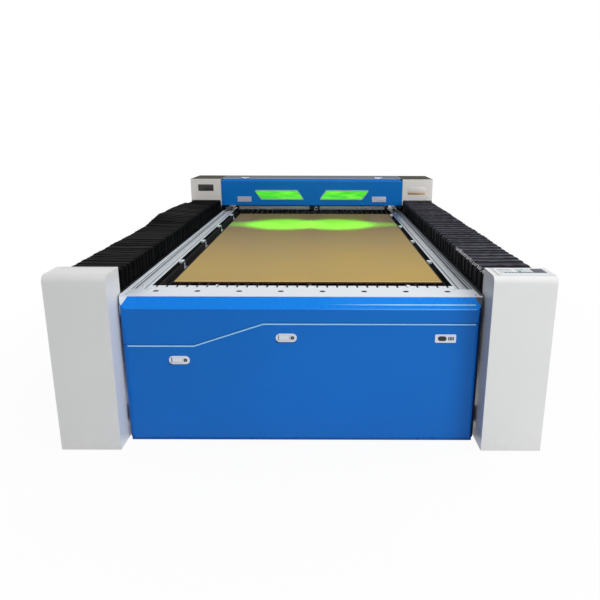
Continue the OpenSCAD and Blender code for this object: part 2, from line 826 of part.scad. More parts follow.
// Outline points of the pleated cover, an upside-down U with cut corners,
// drawn in by a shrink and running round the outer and then the inner wall
function bellows_ring(y, shrink, wall) =
    let (x0 = tower_in + bellows_inset + shrink,
        x1 = tower_in + bellows_inset + bellows_w - shrink,
        z0 = rim_z + 6,
        z1 = rim_z + bellows_rise - shrink,
        c = 14,
        k = c - wall * 0.6)
    [[x0, y, z0], [x0, y, z1 - c], [x0 + c, y, z1], [x1 - c, y, z1], [x1, y, z1 - c], [x1, y, z0],
    [x1 - wall, y, z0], [x1 - wall, y, z1 - wall - k], [x1 - wall - k, y, z1 - wall],
    [x0 + wall + k, y, z1 - wall], [x0 + wall, y, z1 - wall - k], [x0 + wall, y, z0]];

module bellows(y0, y1) {
    rings = 2 * bellows_pleats + 1;
    n = 12;
    wall = 3;
    points = [for (i = [0:rings - 1])
        each bellows_ring(y0 + (y1 - y0) * i / (rings - 1), i % 2 == 0 ? 0 : bellows_depth, wall)];
    skin = [for (i = [0:rings - 2], j = [0:n - 1])
        [i * n + j, i * n + (j + 1) % n, (i + 1) * n + (j + 1) % n, (i + 1) * n + j]];
    // The end faces are split into quads between the outer and inner walls
    first = [for (j = [0:4]) [j, 11 - j, 10 - j, j + 1]];
    last = [for (j = [0:4]) [for (v = [j + 1, 10 - j, 11 - j, j]) v + (rings - 1) * n]];
    polyhedron(points, concat(skin, first, last));
}

front_bellows_y = [tower_d + fit, beam_park - fit];
rear_bellows_y = [beam_park + beam_d + fit, machine_l - tower_d - fit];

module bellows_front_left() color(c_dark) from_front() mirror([1, 0, 0])
    bellows(front_bellows_y[0], front_bellows_y[1]);

module bellows_front_right() color(c_dark) from_front()
    bellows(front_bellows_y[0], front_bellows_y[1]);

module bellows_rear_left() color(c_dark) from_front() mirror([1, 0, 0])
    bellows(rear_bellows_y[0], rear_bellows_y[1]);

module bellows_rear_right() color(c_dark) from_front()
    bellows(rear_bellows_y[0], rear_bellows_y[1]);

// ----------------------------------------------------------------- gantry

module beam_tube() color(c_frame) on_beam() difference() {
    span([-guide_x - 60, tube_y, tube_z], [guide_x + 60, tube_y + beam_tube_d, tube_z + beam_tube_h]);
    span([-guide_x - 70, tube_y + 5, tube_z + 5],
        [guide_x + 70, tube_y + beam_tube_d - 5, tube_z + beam_tube_h - 5]);
}

// Plates that ride on the rail blocks, with risers for the tube, end plates
// for the bellows and a clamp over the side belt
module carriages() color(c_steel) on_beam() both_sides() {
    x0 = belt_x - 5;
    x1 = guide_x + 70;
    span([x0, 2, block_top], [x1, beam_d - 2, carriage_top]);
    span([guide_x - 60, tube_y + 10, carriage_top - 1],
        [guide_x + 60, tube_y + beam_tube_d - 10, tube_z]);
    for (y = [0, beam_d - 4])
        span([tower_in + cheek_w + fit, y, side_top + guide_h + 6],
            [tower_in + bellows_inset + bellows_w, y + 4, rim_z + bellows_rise]);
    span([belt_x, tube_y - 30, drive_z + pulley_r + belt_t + 2 * fit],
        [belt_x + belt_w, tube_y + 30, block_top + 1]);
}

module rail_blocks() color(c_silver) on_beam()
    for (s = [-1, 1], y = [30, beam_d - 130])
        translate([s * guide_x, y, 0]) difference() {
            span([-30, 0, side_top + 5], [30, 100, block_top]);
            translate([0, 0, side_top]) along_y(-5, 105) guide_outline(fit);
        }

// Box cover over a gantry end, with a cheek strip that reaches down to the lid edge
module end_cap() {
    difference() {
        union() {
            span([tower_in, 0, cap_z], [half_w, beam_d, beam_top]);
            span([tower_in, 0, cover_z], [tower_in + cheek_w, beam_d, cap_z + 1]);
            // Side wall down over the guide, outside the bellows
            span([half_w - sheet_t, 0, side_top + 12], [half_w, beam_d, cap_z + 1]);
        }
        span([tower_in + sheet_t, sheet_t, cap_z - 5],
            [half_w - sheet_t, beam_d - sheet_t, beam_top - sheet_t]);
        span([tower_in + sheet_t, sheet_t, cover_z - 1],
            [tower_in + cheek_w + 1, beam_d - sheet_t, cap_z + 2]);
        // Way for the structural tube
        span([tower_in - 1, tube_y - 0.5, tube_z - 0.5],
            [tower_in + 20, tube_y + beam_tube_d + 0.5, tube_z + beam_tube_h + 0.5]);
    }
}

module end_cap_left() color(c_white) on_beam() mirror([1, 0, 0]) end_cap();

module end_cap_right() color(c_white) on_beam() end_cap();

module beam_top_cover() color(c_blue) on_beam() {
    span([-cover_half, lid_axis_y + 1, beam_top - sheet_t], [cover_half, seam_y, beam_top]);
    span([-cover_half, seam_y - sheet_t, beam_top - 20], [cover_half, seam_y, beam_top - 1]);
}

// Top strip and back sheet, screwed together along their corner
module beam_rear_cover() color(c_dark) on_beam() difference() {
    union() {
        span([-cover_half, seam_y + fit, beam_top - sheet_t], [cover_half, beam_d, beam_top]);
        span([-cover_half, beam_d - sheet_t, cover_z],
            [cover_half, beam_d, beam_top - sheet_t - fit]);
    }
    // Louvre slots in the back
    both_sides() for (i = [0:7])
        translate([cover_half - 487, beam_d, cover_z + 85 + i * 12])
            span([-125, -10, 0], [125, 10, 4]);
}

// Floor pan of the gantry with end walls that carry the covers
module beam_pan() color(c_frame) on_beam() difference() {
    union() {
        span([-cover_half + 2, 6, pan_z], [cover_half - 2, beam_d - sheet_t - fit, tube_z]);
        both_sides()
            span([cover_half - 4, lid_axis_y + 3, tube_z + fit],
                [cover_half - 2, beam_d - 4, beam_top - 20 - fit]);
        both_sides()
            span([cover_half - 4, lid_axis_y + 3, beam_top - 22],
                [cover_half - 2, seam_y - 6, beam_top - sheet_t]);
        both_sides()
            span([cover_half - 4, seam_y + 6, beam_top - 22],
                [cover_half - 2, beam_d - 4, beam_top - sheet_t]);
        both_sides() z_rod(pan_z - 12, pan_z + 1, x_pulley_x, x_pulley_y, 10);
    }
    both_sides() z_rod(pan_z - 20, tube_z + 5, x_pulley_x, x_pulley_y, x_shaft_r + running);
    both_sides() span([cover_half - 10, tube_y - 0.5, tube_z + fit / 2],
        [cover_half + 10, tube_y + beam_tube_d + 0.5, tube_z + beam_tube_h + 0.5]);
}

// Outline of the lid sheet in Y and Z: front, bevel and top lip
module lid_outline() polygon([
    [0, cover_z], [0, beam_top - lid_bevel], [lid_bevel, beam_top], [lip_y, beam_top],
    [lip_y, beam_top - sheet_t], [lid_bevel + 0.8, beam_top - sheet_t],
    [sheet_t, beam_top - lid_bevel - 0.8], [sheet_t, cover_z + sheet_t],
    [14, cover_z + sheet_t], [14, cover_z]]);

module window_outline(grow) {
    r = 10;
    g = grow - r;
    k = g * window_lean / window_h;
    hull() for (p = [[window_in - g - k / 3, window_z - g],
            [window_in + window_w + g - k / 3, window_z - g],
            [window_in + window_w + window_lean + g + k / 3, window_z + window_h + g],
            [window_in + window_lean - g + k / 3, window_z + window_h + g]])
        translate(p) circle(r = r, $fn = 32);
}

module beam_lid() color(c_blue) on_beam() difference() {
    union() {
        along_x(-cover_half, cover_half) lid_outline();
        both_sides() along_x(cover_half - sheet_t, cover_half)
            polygon([[0, cover_z], [0, beam_top - lid_bevel], [lid_bevel, beam_top],
                [30, beam_top], [30, cover_z]]);
    }
    both_sides() along_y(-5, 10) window_outline(0);
    // Cut upper corners
    both_sides() along_y(-1, lip_y + 1)
        polygon([[cover_half + 1, beam_top - lid_bevel], [cover_half, beam_top - lid_bevel],
            [cover_half - lid_bevel, beam_top], [cover_half - lid_bevel, beam_top + 1],
            [cover_half + 1, beam_top + 1]]);
    both_sides()
        span([lid_latch_x - 52, -5, lid_latch_z - 17], [lid_latch_x + 52, 10, lid_latch_z + 17]);
}

module window_frames() color([0.72, 0.86, 0.80]) on_beam() both_sides()
    difference() {
        along_y(-4, 0) window_outline(8);
        along_y(-6, 2) window_outline(-2);
    }

module window_panes() color([0.30, 0.95, 0.25]) on_beam() both_sides()
    along_y(fit, sheet_t) window_outline(-fit);

// ------------------------------------------------------------- lid hinges

hinge_w = 70;
hinge_x = cover_half - 228;
hinge_r = 6;
hinge_pin_r = 3;

// Leaf, knuckles and pin that stay on the top cover
module lid_hinges() color(c_silver) on_beam() both_sides()
    translate([hinge_x, 0, 0]) {
        for (x = [-hinge_w / 2, hinge_w / 2 - 20])
            difference() {
                union() {
                    x_rod(x, x + 20, lid_axis_y, lid_axis_z, hinge_r);
                    span([x, lid_axis_y, beam_top], [x + 20, lid_axis_y + 10, beam_top + 3]);
                }
                span([x - 1, lid_axis_y - 10, beam_top - 5], [x + 21, lid_axis_y + 20, beam_top]);
            }
        span([-hinge_w / 2, lid_axis_y + 8, beam_top], [hinge_w / 2, lid_axis_y + 38, beam_top + 3]);
        x_rod(-hinge_w / 2 + 1, hinge_w / 2 - 1, lid_axis_y, lid_axis_z, hinge_pin_r);
    }

// Leaf and middle knuckle on the lid
module lid_leaf() difference() {
    union() {
        x_rod(-hinge_w / 2 + 20 + fit, hinge_w / 2 - 20 - fit, lid_axis_y, lid_axis_z, hinge_r);
        span([-hinge_w / 2 + 20 + fit, lid_bevel + 2, beam_top],
            [hinge_w / 2 - 20 - fit, lid_axis_y, beam_top + 3]);
    }
    x_rod(-hinge_w, hinge_w, lid_axis_y, lid_axis_z, hinge_pin_r + running);
    span([-hinge_w, lid_axis_y - 10, beam_top - 5], [hinge_w, lid_axis_y + 20, beam_top]);
}

// Recessed latch plates of the lid, with the lid's hinge leaves beside them
module lid_latch_plates() color(c_silver) on_beam() both_sides() {
    translate([lid_latch_x, 0, lid_latch_z]) difference() {
        union() {
            span([-lid_latch_w / 2, -latch_t, -lid_latch_h / 2], [lid_latch_w / 2, 0, lid_latch_h / 2]);
            span([-52 + fit, -1, -17 + fit], [52 - fit, 18, 17 - fit]);
        }
        span([-48, -10, -13], [48, 16, 13]);
    }
    translate([lid_latch_x, 0, lid_latch_z]) x_rod(-50, 50, 4, 9, 1.5);
    translate([hinge_x, 0, 0]) lid_leaf();
}

// A paddle that hangs on the pin inside a lid latch
module lid_paddle() difference() {
    union() {
        x_rod(-46, 46, 4, 9, 3.2);
        span([-46, -2, -11.5], [46, 1, 6]);
        span([-46, -2, 4], [46, 4, 9]);
    }
    x_rod(-60, 60, 4, 9, 1.5 + running);
}

module lid_paddle_left() color(c_silver) on_beam()
    translate([-lid_latch_x, 0, lid_latch_z]) lid_paddle();

module lid_paddle_right() color(c_silver) on_beam()
    translate([lid_latch_x, 0, lid_latch_z]) lid_paddle();

// ------------------------------------------------------ laser and its drive

module laser_tube() color([0.75, 0.88, 0.92]) on_beam() {
    l = tube_l / 2;
    x_rod(-l + 60, l - 60, laser_y, laser_z, tube_r);
    for (s = [-1, 1]) translate([s * (l - 61), laser_y, laser_z]) rotate([0, s * 90, 0])
        rotate_extrude() polygon([[0, 0], [tube_r, 0], [22, 20], [22, 61], [0, 61]]);
}

module tube_clamps() color(c_silver) on_beam() both_sides()
    translate([tube_l / 2 - 250, 0, 0]) difference() {
        union() {
            x_rod(-15, 15, laser_y, laser_z, tube_r + 9);
            span([-15, laser_y - 34, tube_z], [15, laser_y + 34, laser_z]);
            span([-15, laser_y - 48, tube_z], [15, laser_y + 48, tube_z + 6]);
        }
        x_rod(-20, 20, laser_y, laser_z, tube_r + running);
    }

// Long folded bracket that carries the cross rail under the pan
module x_rail_bracket() color(c_frame) on_beam() {
    l = x_rail_l / 2 + 12;
    span([-l, x_rail_y, pan_z - bracket_t], [l, tube_y - 20, pan_z]);
    span([-l, bracket_y, x_rail_z], [l, bracket_y + bracket_t, pan_z - 1]);
}

// Rail section with a tapered groove along its front, grown by a gap
module x_rail_outline(grow) {
    h = x_rail_s + grow;
    lip = 7 + grow * 0.66;            // keeps the gap even on the slanted sides
    depth = 7 - grow;
    polygon([[-grow, -grow], [-grow, lip], [depth, lip + 3], [depth, x_rail_s - lip - 3],
        [-grow, x_rail_s - lip], [-grow, h], [x_rail_s, h], [x_rail_s, -grow]]);
}

module x_rail() color(c_silver) on_beam()
    along_x(-x_rail_l / 2, x_rail_l / 2) translate([x_rail_y, x_rail_z]) x_rail_outline(0);

module x_belt() color(c_dark) on_beam() difference() {
    r0 = x_pulley_r + fit;
    r1 = r0 + x_belt_t;
    union() {
        for (s = [-1, 1]) z_rod(x_belt_z, x_belt_z + x_belt_w, s * x_pulley_x, x_pulley_y, r1);
        span([-x_pulley_x, x_pulley_y - r1, x_belt_z],
            [x_pulley_x, x_pulley_y + r1, x_belt_z + x_belt_w]);
    }
    for (s = [-1, 1]) z_rod(x_belt_z - 1, x_belt_z + 20, s * x_pulley_x, x_pulley_y, r0);
    span([-x_pulley_x, x_pulley_y - r0, x_belt_z - 1], [x_pulley_x, x_pulley_y + r0, x_belt_z + 20]);
}

module x_motor() color(c_dark) on_beam() translate([x_pulley_x, x_pulley_y, tube_z]) difference() {
    union() {
        translate([-28, -28, 0]) cube([56, 56, 6]);
        translate([-26, -26, 5]) cube([52, 52, 42]);
        translate([-28, -28, 46]) cube([56, 56, 6]);
    }
    translate([0, 0, -1]) cylinder(h = 21, r = x_shaft_r + running);
}

module x_pulley(side, shaft_top) on_beam() translate([side * x_pulley_x, x_pulley_y, 0]) {
    z_rod(x_belt_z - 1, x_belt_z + x_belt_w + 1, 0, 0, x_pulley_r);
    for (z = [x_belt_z - 3, x_belt_z + x_belt_w + 1]) z_rod(z, z + 2, 0, 0, x_pulley_r + 3);
    z_rod(x_belt_z, shaft_top, 0, 0, x_shaft_r);
}

module x_drive_pulley() color(c_steel) x_pulley(1, tube_z + 18);

module x_idler_pulley() color(c_steel) x_pulley(-1, tube_z - 1);

// Cutting head: a block round the cross rail, an arm to the belt, the optics
// housing with its round mirror cap, and the lens tube with its nozzle
module cutting_head() color(c_dark) on_beam() translate([head_x, 0, 0]) {
    low = x_rail_z - 4;
    optics_y = x_rail_y - 40;
    nozzle_x = -10;
    belt_face = x_pulley_y - x_pulley_r - x_belt_t - 2 * fit;
    difference() {
        span([-head_w / 2, x_rail_y - 18, low],
            [head_w / 2, bracket_y - fit, x_rail_z + x_rail_s + 8]);
        along_x(-head_w, head_w) translate([x_rail_y, x_rail_z]) x_rail_outline(fit);
        span([-head_w, bracket_y - 2 * fit, x_rail_z - fit], [head_w, bracket_y + 5, x_rail_z + 60]);
    }
    span([-20, bracket_y - 6, low], [20, belt_face, low + 3.7]);
    span([-20, belt_face - 5, low], [20, belt_face, x_belt_z + x_belt_w]);
    // Optics housing in front of the rail
    span([-head_w / 2 + 8, optics_y - 22, low + 10], [head_w / 2 - 8, x_rail_y - 17, x_rail_z + 40]);
    y_rod(optics_y - 30, optics_y - 21, 14, x_rail_z + 18, 15);
    z_rod(low + 3, low + 11, nozzle_x, optics_y, 18);
    translate([nozzle_x, optics_y, low - 2]) cylinder(h = 6, r1 = 3, r2 = 12);
}

// ------------------------------------------------------------ door details

module door_hinges() color(c_steel) from_front() for (x = door_hinge_x) translate([x, 0, 0]) {
    for (s = [-40, 20]) {
        x_rod(s, s + 20, door_axis_y, door_axis_z, 5);
        span([s, door_axis_y, sill_z - 3], [s + 20, sill_y + sill_d - 6, sill_z]);
    }
    span([-40, sill_y - 2, sill_z - 3], [40, sill_y + sill_d - 6, sill_z]);
    x_rod(-39, 39, door_axis_y, door_axis_z, 2.5);
}

// Knuckle and upright leaf screwed to the inside of the door
module door_leaf() difference() {
    union() {
        x_rod(-20 + fit, 20 - fit, door_axis_y, door_axis_z, 5);
        span([-20 + fit, door_axis_y + sheet_t, door_axis_z],
            [20 - fit, door_axis_y + sheet_t + 3, door_low_edge + 50]);
    }
    x_rod(-40, 40, door_axis_y, door_axis_z, 2.5 + running);
}

// Long plate with round ends, in X and Z, about its centre
module obround(w, h, y0, y1) {
    span([-w / 2 + h / 2, y0, -h / 2], [w / 2 - h / 2, y1, h / 2]);
    for (s = [-1, 1]) y_rod(y0, y1, s * (w / 2 - h / 2), 0, h / 2);
}

// Flush latch: round-ended plate, cup behind it, hinge pin and lock barrel
module flush_latch() {
    difference() {
        union() {
            obround(latch_w, latch_h, -latch_t, 0);
            span([-42 + fit, -1, -16 + fit], [42 - fit, 18, 16 - fit]);
        }
        span([-39, -10, -13], [16, 16, 13]);
    }
    z_rod(-14, 14, latch_pin_x, 3, 1.5);
    y_rod(-latch_t - 2, -1, 29, 0, 10);
}

// Rectangular push latch: plate with a cup for its button
module push_latch() difference() {
    union() {
        span([-latch_w / 2, -latch_t, -latch_h / 2], [latch_w / 2, 0, latch_h / 2]);
        span([-42 + fit, -1, -16 + fit], [42 - fit, 18, 16 - fit]);
    }
    translate([-16, 0, 0]) obround(40 + 2 * fit, 22 + 2 * fit, -10, 16);
}

module door_latch_plates() color(c_silver) from_front() {
    translate([latch_low[0], panel_setback, latch_low[1]]) flush_latch();
    translate([latch_mid[0], panel_setback, latch_mid[1]]) flush_latch();
    translate([latch_push[0], panel_setback, latch_push[1]]) push_latch();
    for (x = door_hinge_x) translate([x, 0, 0]) door_leaf();
}

// Paddle on the upright pin of a flush latch
module door_paddle(c) from_front() translate([c[0], panel_setback, c[1]]) difference() {
    union() {
        z_rod(-12.5, 12.5, latch_pin_x, 3, 3.2);
        span([latch_pin_x - 1.5, -2.5, -12.5], [15, 0.5, 12.5]);
        span([latch_pin_x - 2.5, -1, -12.5], [latch_pin_x + 3, 3, 12.5]);
    }
    z_rod(-20, 20, latch_pin_x, 3, 1.5 + running);
}

module door_paddle_left() color(c_silver) door_paddle(latch_low);

module door_paddle_middle() color(c_silver) door_paddle(latch_mid);

module door_push_button() color(c_dark) from_front()
    translate([latch_push[0] - 16, panel_setback, latch_push[1]]) obround(40, 22, -6, 10);

// ------------------------------------------------------------------ output

base_frame();
levelling_feet();
front_panel();
side_panels();
rear_panel();
front_flange();
rear_flange();
side_rail_left();
side_rail_right();
bed_slats();
slat_crossbeams();
bed_board();
scrap_trays();
exhaust_duct();
tower_front_left();
tower_front_right();
rear_towers();
panel_bezel();
lcd_screen();
keypad();
guide_rails();
y_belts();
y_motor();
shaft_bearings();
y_drive_shaft();
y_idlers();
door_hinges();
bellows_front_left();
bellows_front_right();
bellows_rear_left();
bellows_rear_right();
beam_tube();
carriages();
rail_blocks();
end_cap_left();
end_cap_right();
beam_top_cover();
beam_rear_cover();
beam_pan();
lid_hinges();
laser_tube();
tube_clamps();
x_rail_bracket();
x_rail();
x_belt();
x_motor();
x_drive_pulley();
x_idler_pulley();
beam_lid();
window_frames();
window_panes();
lid_latch_plates();
lid_paddle_left();
lid_paddle_right();
front_door();
door_latch_plates();
door_paddle_left();
door_paddle_middle();
door_push_button();
cutting_head();
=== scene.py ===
"""Visual model of a flatbed laser cutting machine.

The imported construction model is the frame. Folded sheet parts are rebuilt with
rounded folds, the four pleated covers are made as cloth, and trim, screws, bare
plates and panel details are added. Metres, +Z up; the operator stands at -Y.
"""
import json
import logging
import math
import random
from dataclasses import dataclass
from enum import Enum
from typing import Any, Callable, Iterable, Sequence

import bmesh
import bpy
from mathutils import Matrix, Vector, noise


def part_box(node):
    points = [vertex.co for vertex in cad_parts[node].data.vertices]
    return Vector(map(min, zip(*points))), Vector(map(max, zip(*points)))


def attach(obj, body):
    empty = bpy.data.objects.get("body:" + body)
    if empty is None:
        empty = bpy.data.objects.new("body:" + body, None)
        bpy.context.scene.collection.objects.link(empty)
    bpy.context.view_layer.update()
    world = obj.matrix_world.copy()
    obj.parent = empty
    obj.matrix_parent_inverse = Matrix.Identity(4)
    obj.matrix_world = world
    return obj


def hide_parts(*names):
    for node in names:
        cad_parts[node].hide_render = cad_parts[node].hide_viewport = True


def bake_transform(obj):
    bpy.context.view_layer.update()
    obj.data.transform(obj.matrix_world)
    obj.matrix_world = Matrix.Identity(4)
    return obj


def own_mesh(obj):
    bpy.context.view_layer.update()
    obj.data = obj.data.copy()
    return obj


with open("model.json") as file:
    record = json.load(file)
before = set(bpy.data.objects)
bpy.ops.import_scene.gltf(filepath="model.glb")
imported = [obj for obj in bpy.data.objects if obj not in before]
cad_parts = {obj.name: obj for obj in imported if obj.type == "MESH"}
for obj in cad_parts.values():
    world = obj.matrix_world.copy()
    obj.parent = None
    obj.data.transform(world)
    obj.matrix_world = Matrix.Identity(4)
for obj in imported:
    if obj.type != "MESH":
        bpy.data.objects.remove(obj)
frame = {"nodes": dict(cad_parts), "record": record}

LOG = logging.getLogger("laser_cutter")
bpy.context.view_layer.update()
RECORD = frame["record"]
BODY_OF: dict[str, str] = {
    node: body for body, nodes in RECORD["behaviour"]["bodies"].items() for node in nodes
}
SLOT_OF: dict[str, str] = {part["node"]: part["material_slot"] for part in RECORD["subparts"]}

Colour = tuple[float, float, float, float]
Point = tuple[float, float, float]
Rings = tuple[tuple[float, float], ...]
Socket = bpy.types.NodeSocket
Material = bpy.types.Material
Thing = bpy.types.Object
Shape = bmesh.types.BMesh
Face = bmesh.types.BMFace
Edge = bmesh.types.BMEdge
Vert = bmesh.types.BMVert

UP = Vector((0, 0, 1))
REARWARD = Vector((0, 1, 0))
SIDES = ((-1, "left"), (1, "right"))
QUARTER = math.radians(90)
PRINT = 0.0002


def srgb(red: int, green: int, blue: int) -> Colour:
    """Turns display values into the linear colour that a shader takes.

    Args:
        red: Red from 0 to 255.
        green: Green from 0 to 255.
        blue: Blue from 0 to 255.

    Returns:
        The linear colour with full opacity.
    """
    def linear(value: int) -> float:
        """Returns one channel in linear light."""
        share = value / 255
        return share / 12.92 if share <= 0.04045 else ((share + 0.055) / 1.055) ** 2.4

    return (linear(red), linear(green), linear(blue), 1.0)


def scaled(colour: Colour, factor: float) -> Colour:
    """Returns the colour made lighter or darker by a factor."""
    return tuple(min(1.0, channel * factor) for channel in colour[:3]) + (1.0,)


class Graph:
    """Node tree of a material or a world, with short calls for the nodes it needs."""

    def __init__(self, owner: Material | bpy.types.World) -> None:
        """Empties the owner's tree and gives it an output."""
        owner.use_nodes = True
        self.owner = owner
        self.tree = owner.node_tree
        self.tree.nodes.clear()
        kind = "World" if isinstance(owner, bpy.types.World) else "Material"
        self.output = self.tree.nodes.new(f"ShaderNodeOutput{kind}")

    def add(self, kind: str, sockets: dict[Any, Any], **settings: Any) -> bpy.types.Node:
        """Adds a node, sets its properties and fills its sockets.

        Args:
            kind: Node type without its ShaderNode prefix.
            sockets: Value or socket to link, by input name or number.
            **settings: Properties of the node.

        Returns:
            The new node.
        """
        node = self.tree.nodes.new("ShaderNode" + kind)
        for key, value in settings.items():
            setattr(node, key, value)
        for key, value in sockets.items():
            if isinstance(value, Socket):
                self.tree.links.new(value, node.inputs[key])
            else:
                node.inputs[key].default_value = value
        return node

    def end(self, surface: Socket) -> Any:
        """Links the surface to the output and returns the owner."""
        self.tree.links.new(surface, self.output.inputs["Surface"])
        return self.owner

    def place(self, *scale: float) -> Socket:
        """Returns object coordinates, stretched by a scale for each axis."""
        coordinates = self.add("TexCoord", {}).outputs["Object"]
        return self.add("Mapping", {"Vector": coordinates, "Scale": scale or (1, 1, 1)}).outputs["Vector"]

    def axis(self, letter: str) -> Socket:
        """Returns one object coordinate, X, Y or Z."""
        coordinates = self.add("TexCoord", {}).outputs["Object"]
        return self.add("SeparateXYZ", {"Vector": coordinates}).outputs[letter]

    def layer(self, name: str) -> Socket:
        """Returns a value that the mesh holds at its points."""
        return self.add("Attribute", {}, attribute_name=name).outputs["Fac"]

    def noise(self, place: Socket, scale: float, detail: float) -> Socket:
        """Returns a noise value from 0 to 1 at that scale."""
        return self.add("TexNoise", {"Vector": place, "Scale": scale, "Detail": detail}).outputs["Fac"]

    def spread(self, value: Socket, low: float, high: float,
               to_low: float = 0.0, to_high: float = 1.0) -> Socket:
        """Maps a value from one range to another, held at its ends."""
        return self.add("MapRange", {"Value": value, "From Min": low, "From Max": high,
                                     "To Min": to_low, "To Max": to_high}).outputs["Result"]

    def patches(self, place: Socket, scale: float, detail: float, *levels: float) -> Socket:
        """Returns noise of that scale and detail, spread between the levels."""
        return self.spread(self.noise(place, scale, detail), *levels)

    def math(self, operation: str, first: Any, second: Any) -> Socket:
        """Returns the result of a math operation on two values."""
        return self.add("Math", {0: first, 1: second}, operation=operation).outputs["Value"]

    def mix(self, share: Any, first: Any, second: Any) -> Socket:
        """Returns a colour between two, by a share from 0 to 1."""
        return self.add("Mix", {0: share, 6: first, 7: second}, data_type="RGBA").outputs[2]

    def vary(self, share: Socket, colour: Colour, low: float, high: float) -> Socket:
        """Returns the colour scaled by a factor between two, by a share from 0 to 1."""
        return self.mix(share, scaled(colour, low), scaled(colour, high))

    def bump(self, height: Socket, distance: float) -> Socket:
        """Returns a normal bent by a height, in metres of relief."""
        sockets = {"Height": height, "Distance": distance, "Strength": 1.0}
        return self.add("Bump", sockets).outputs["Normal"]

    def seen(self) -> Socket:
        """Returns 1 where the eye looks straight, by a reflection or through glass, 0 for light."""
        path = self.add("LightPath", {}).outputs
        seen = self.math("MAXIMUM", path["Is Camera Ray"], path["Is Glossy Ray"])
        return self.math("MAXIMUM", seen, path["Is Transmission Ray"])

    def shade(self, **sockets: Any) -> Material:
        """Ends the tree in a principled shader; socket names have _ for a space."""
        names = {key.replace("_", " "): value for key, value in sockets.items()}
        return self.end(self.add("BsdfPrincipled", names).outputs["BSDF"])


class Grain(Enum):
    """Direction of the grinding or drawing marks on bare metal."""

    ALONG_X = (2.0, 260.0, 260.0)
    ALONG_Y = (260.0, 2.0, 260.0)
    ALONG_Z = (260.0, 260.0, 2.0)


@dataclass(frozen=True)
class Enamel:
    """Sprayed and baked paint with orange peel, faint clouds and floor dust."""

    colour: Colour
    roughness: float
    coat: float
    cloud: float = 0.05
    dust: float = 0.22
    shine: float = 0.4

    def dress(self, graph: Graph) -> Material:
        """Returns the paint as a material."""
        here = graph.place()
        specks = graph.noise(here, 34.0, 3.0)
        clouds = graph.patches(here, 1.7, 4.0, 0.3, 0.7)
        tone = graph.vary(clouds, self.colour, 1 - self.cloud, 1 + self.cloud)
        low = graph.spread(graph.axis("Z"), 0.01, 0.16, 1.0, 0.0)
        grime = graph.math("MULTIPLY", low, graph.spread(specks, 0.35, 0.75, 0.0, self.dust))
        gloss = graph.spread(specks, 0.3, 0.7, self.roughness - 0.02, self.roughness + 0.03)
        peel = graph.bump(graph.noise(here, 380.0, 2.0), 0.00003)
        return graph.shade(Base_Color=graph.mix(grime, tone, srgb(118, 112, 104)), Roughness=gloss,
                           Normal=peel, Specular_IOR_Level=self.shine,
                           Coat_Weight=self.coat, Coat_Roughness=0.12)


@dataclass(frozen=True)
class FoldHighlight:
    """Painted highlight along a fold: a pale colour that grows from one end of the machine's width to the
    other, in patches.
    """

    colour: Colour
    bright: Colour
    start: float
    end: float

    def dress(self, graph: Graph) -> Material:
        """Returns the painted highlight as a material."""
        along = graph.spread(graph.axis("X"), self.start, self.end)
        # Patches that break up the painted highlight.
        worn = graph.patches(graph.place(3.0, 1.0, 1.0), 4.0, 3.0, 0.3, 0.7, 0.75, 1.0)
        tone = graph.mix(graph.math("MULTIPLY", along, worn), self.colour, self.bright)
        return graph.shade(Base_Color=tone, Roughness=0.35, Specular_IOR_Level=0.15)


@dataclass(frozen=True)
class BareMetal:
    """Ground, drawn or rolled metal with fine marks along its grain."""

    colour: Colour
    roughness: float
    grain: Grain
    stain: float = 0.14

    def dress(self, graph: Graph) -> Material:
        """Returns the metal as a material."""
        marks = graph.noise(graph.place(*self.grain.value), 1.0, 3.0)
        stains = graph.patches(graph.place(), 7.0, 5.0, 0.42, 0.72)
        tone = graph.mix(graph.math("MULTIPLY", stains, self.stain), self.colour, srgb(96, 88, 78))
        tone = graph.mix(graph.spread(marks, 0.4, 0.62, 0.0, 0.16), tone, scaled(self.colour, 0.72))
        gloss = graph.spread(marks, 0.35, 0.65, self.roughness - 0.07, self.roughness + 0.09)
        return graph.shade(Base_Color=tone, Metallic=1.0, Roughness=gloss,
                           Normal=graph.bump(marks, 0.00004))


@dataclass(frozen=True)
class Galvanised:
    """Zinc-coated sheet with its crystal spangle."""

    colour: Colour

    def dress(self, graph: Graph) -> Material:
        """Returns the zinc as a material."""
        cells = graph.add("TexVoronoi", {"Vector": graph.place(), "Scale": 46.0}).outputs["Color"]
        level = graph.add("RGBToBW", {"Color": cells}).outputs["Val"]
        tone = graph.vary(graph.spread(level, 0.2, 0.8), self.colour, 0.8, 1.12)
        return graph.shade(Base_Color=tone, Metallic=0.85,
                           Roughness=graph.spread(level, 0.0, 1.0, 0.36, 0.55))


@dataclass(frozen=True)
class ScorchedSteel:
    """Strip steel blackened by smoke and cuts, rusty in patches."""

    colour: Colour

    def dress(self, graph: Graph) -> Material:
        """Returns the steel as a material."""
        here = graph.place()
        tone = graph.vary(graph.patches(here, 14.0, 5.0, 0.35, 0.7), self.colour, 1.0, 2.4)
        rust = graph.patches(here, 5.0, 6.0, 0.56, 0.72, 0.0, 0.5)
        return graph.shade(Base_Color=graph.mix(rust, tone, srgb(74, 48, 34)), Metallic=0.1,
                           Roughness=0.75, Specular_IOR_Level=0.25,
                           Normal=graph.bump(graph.noise(here, 160.0, 4.0), 0.0002))


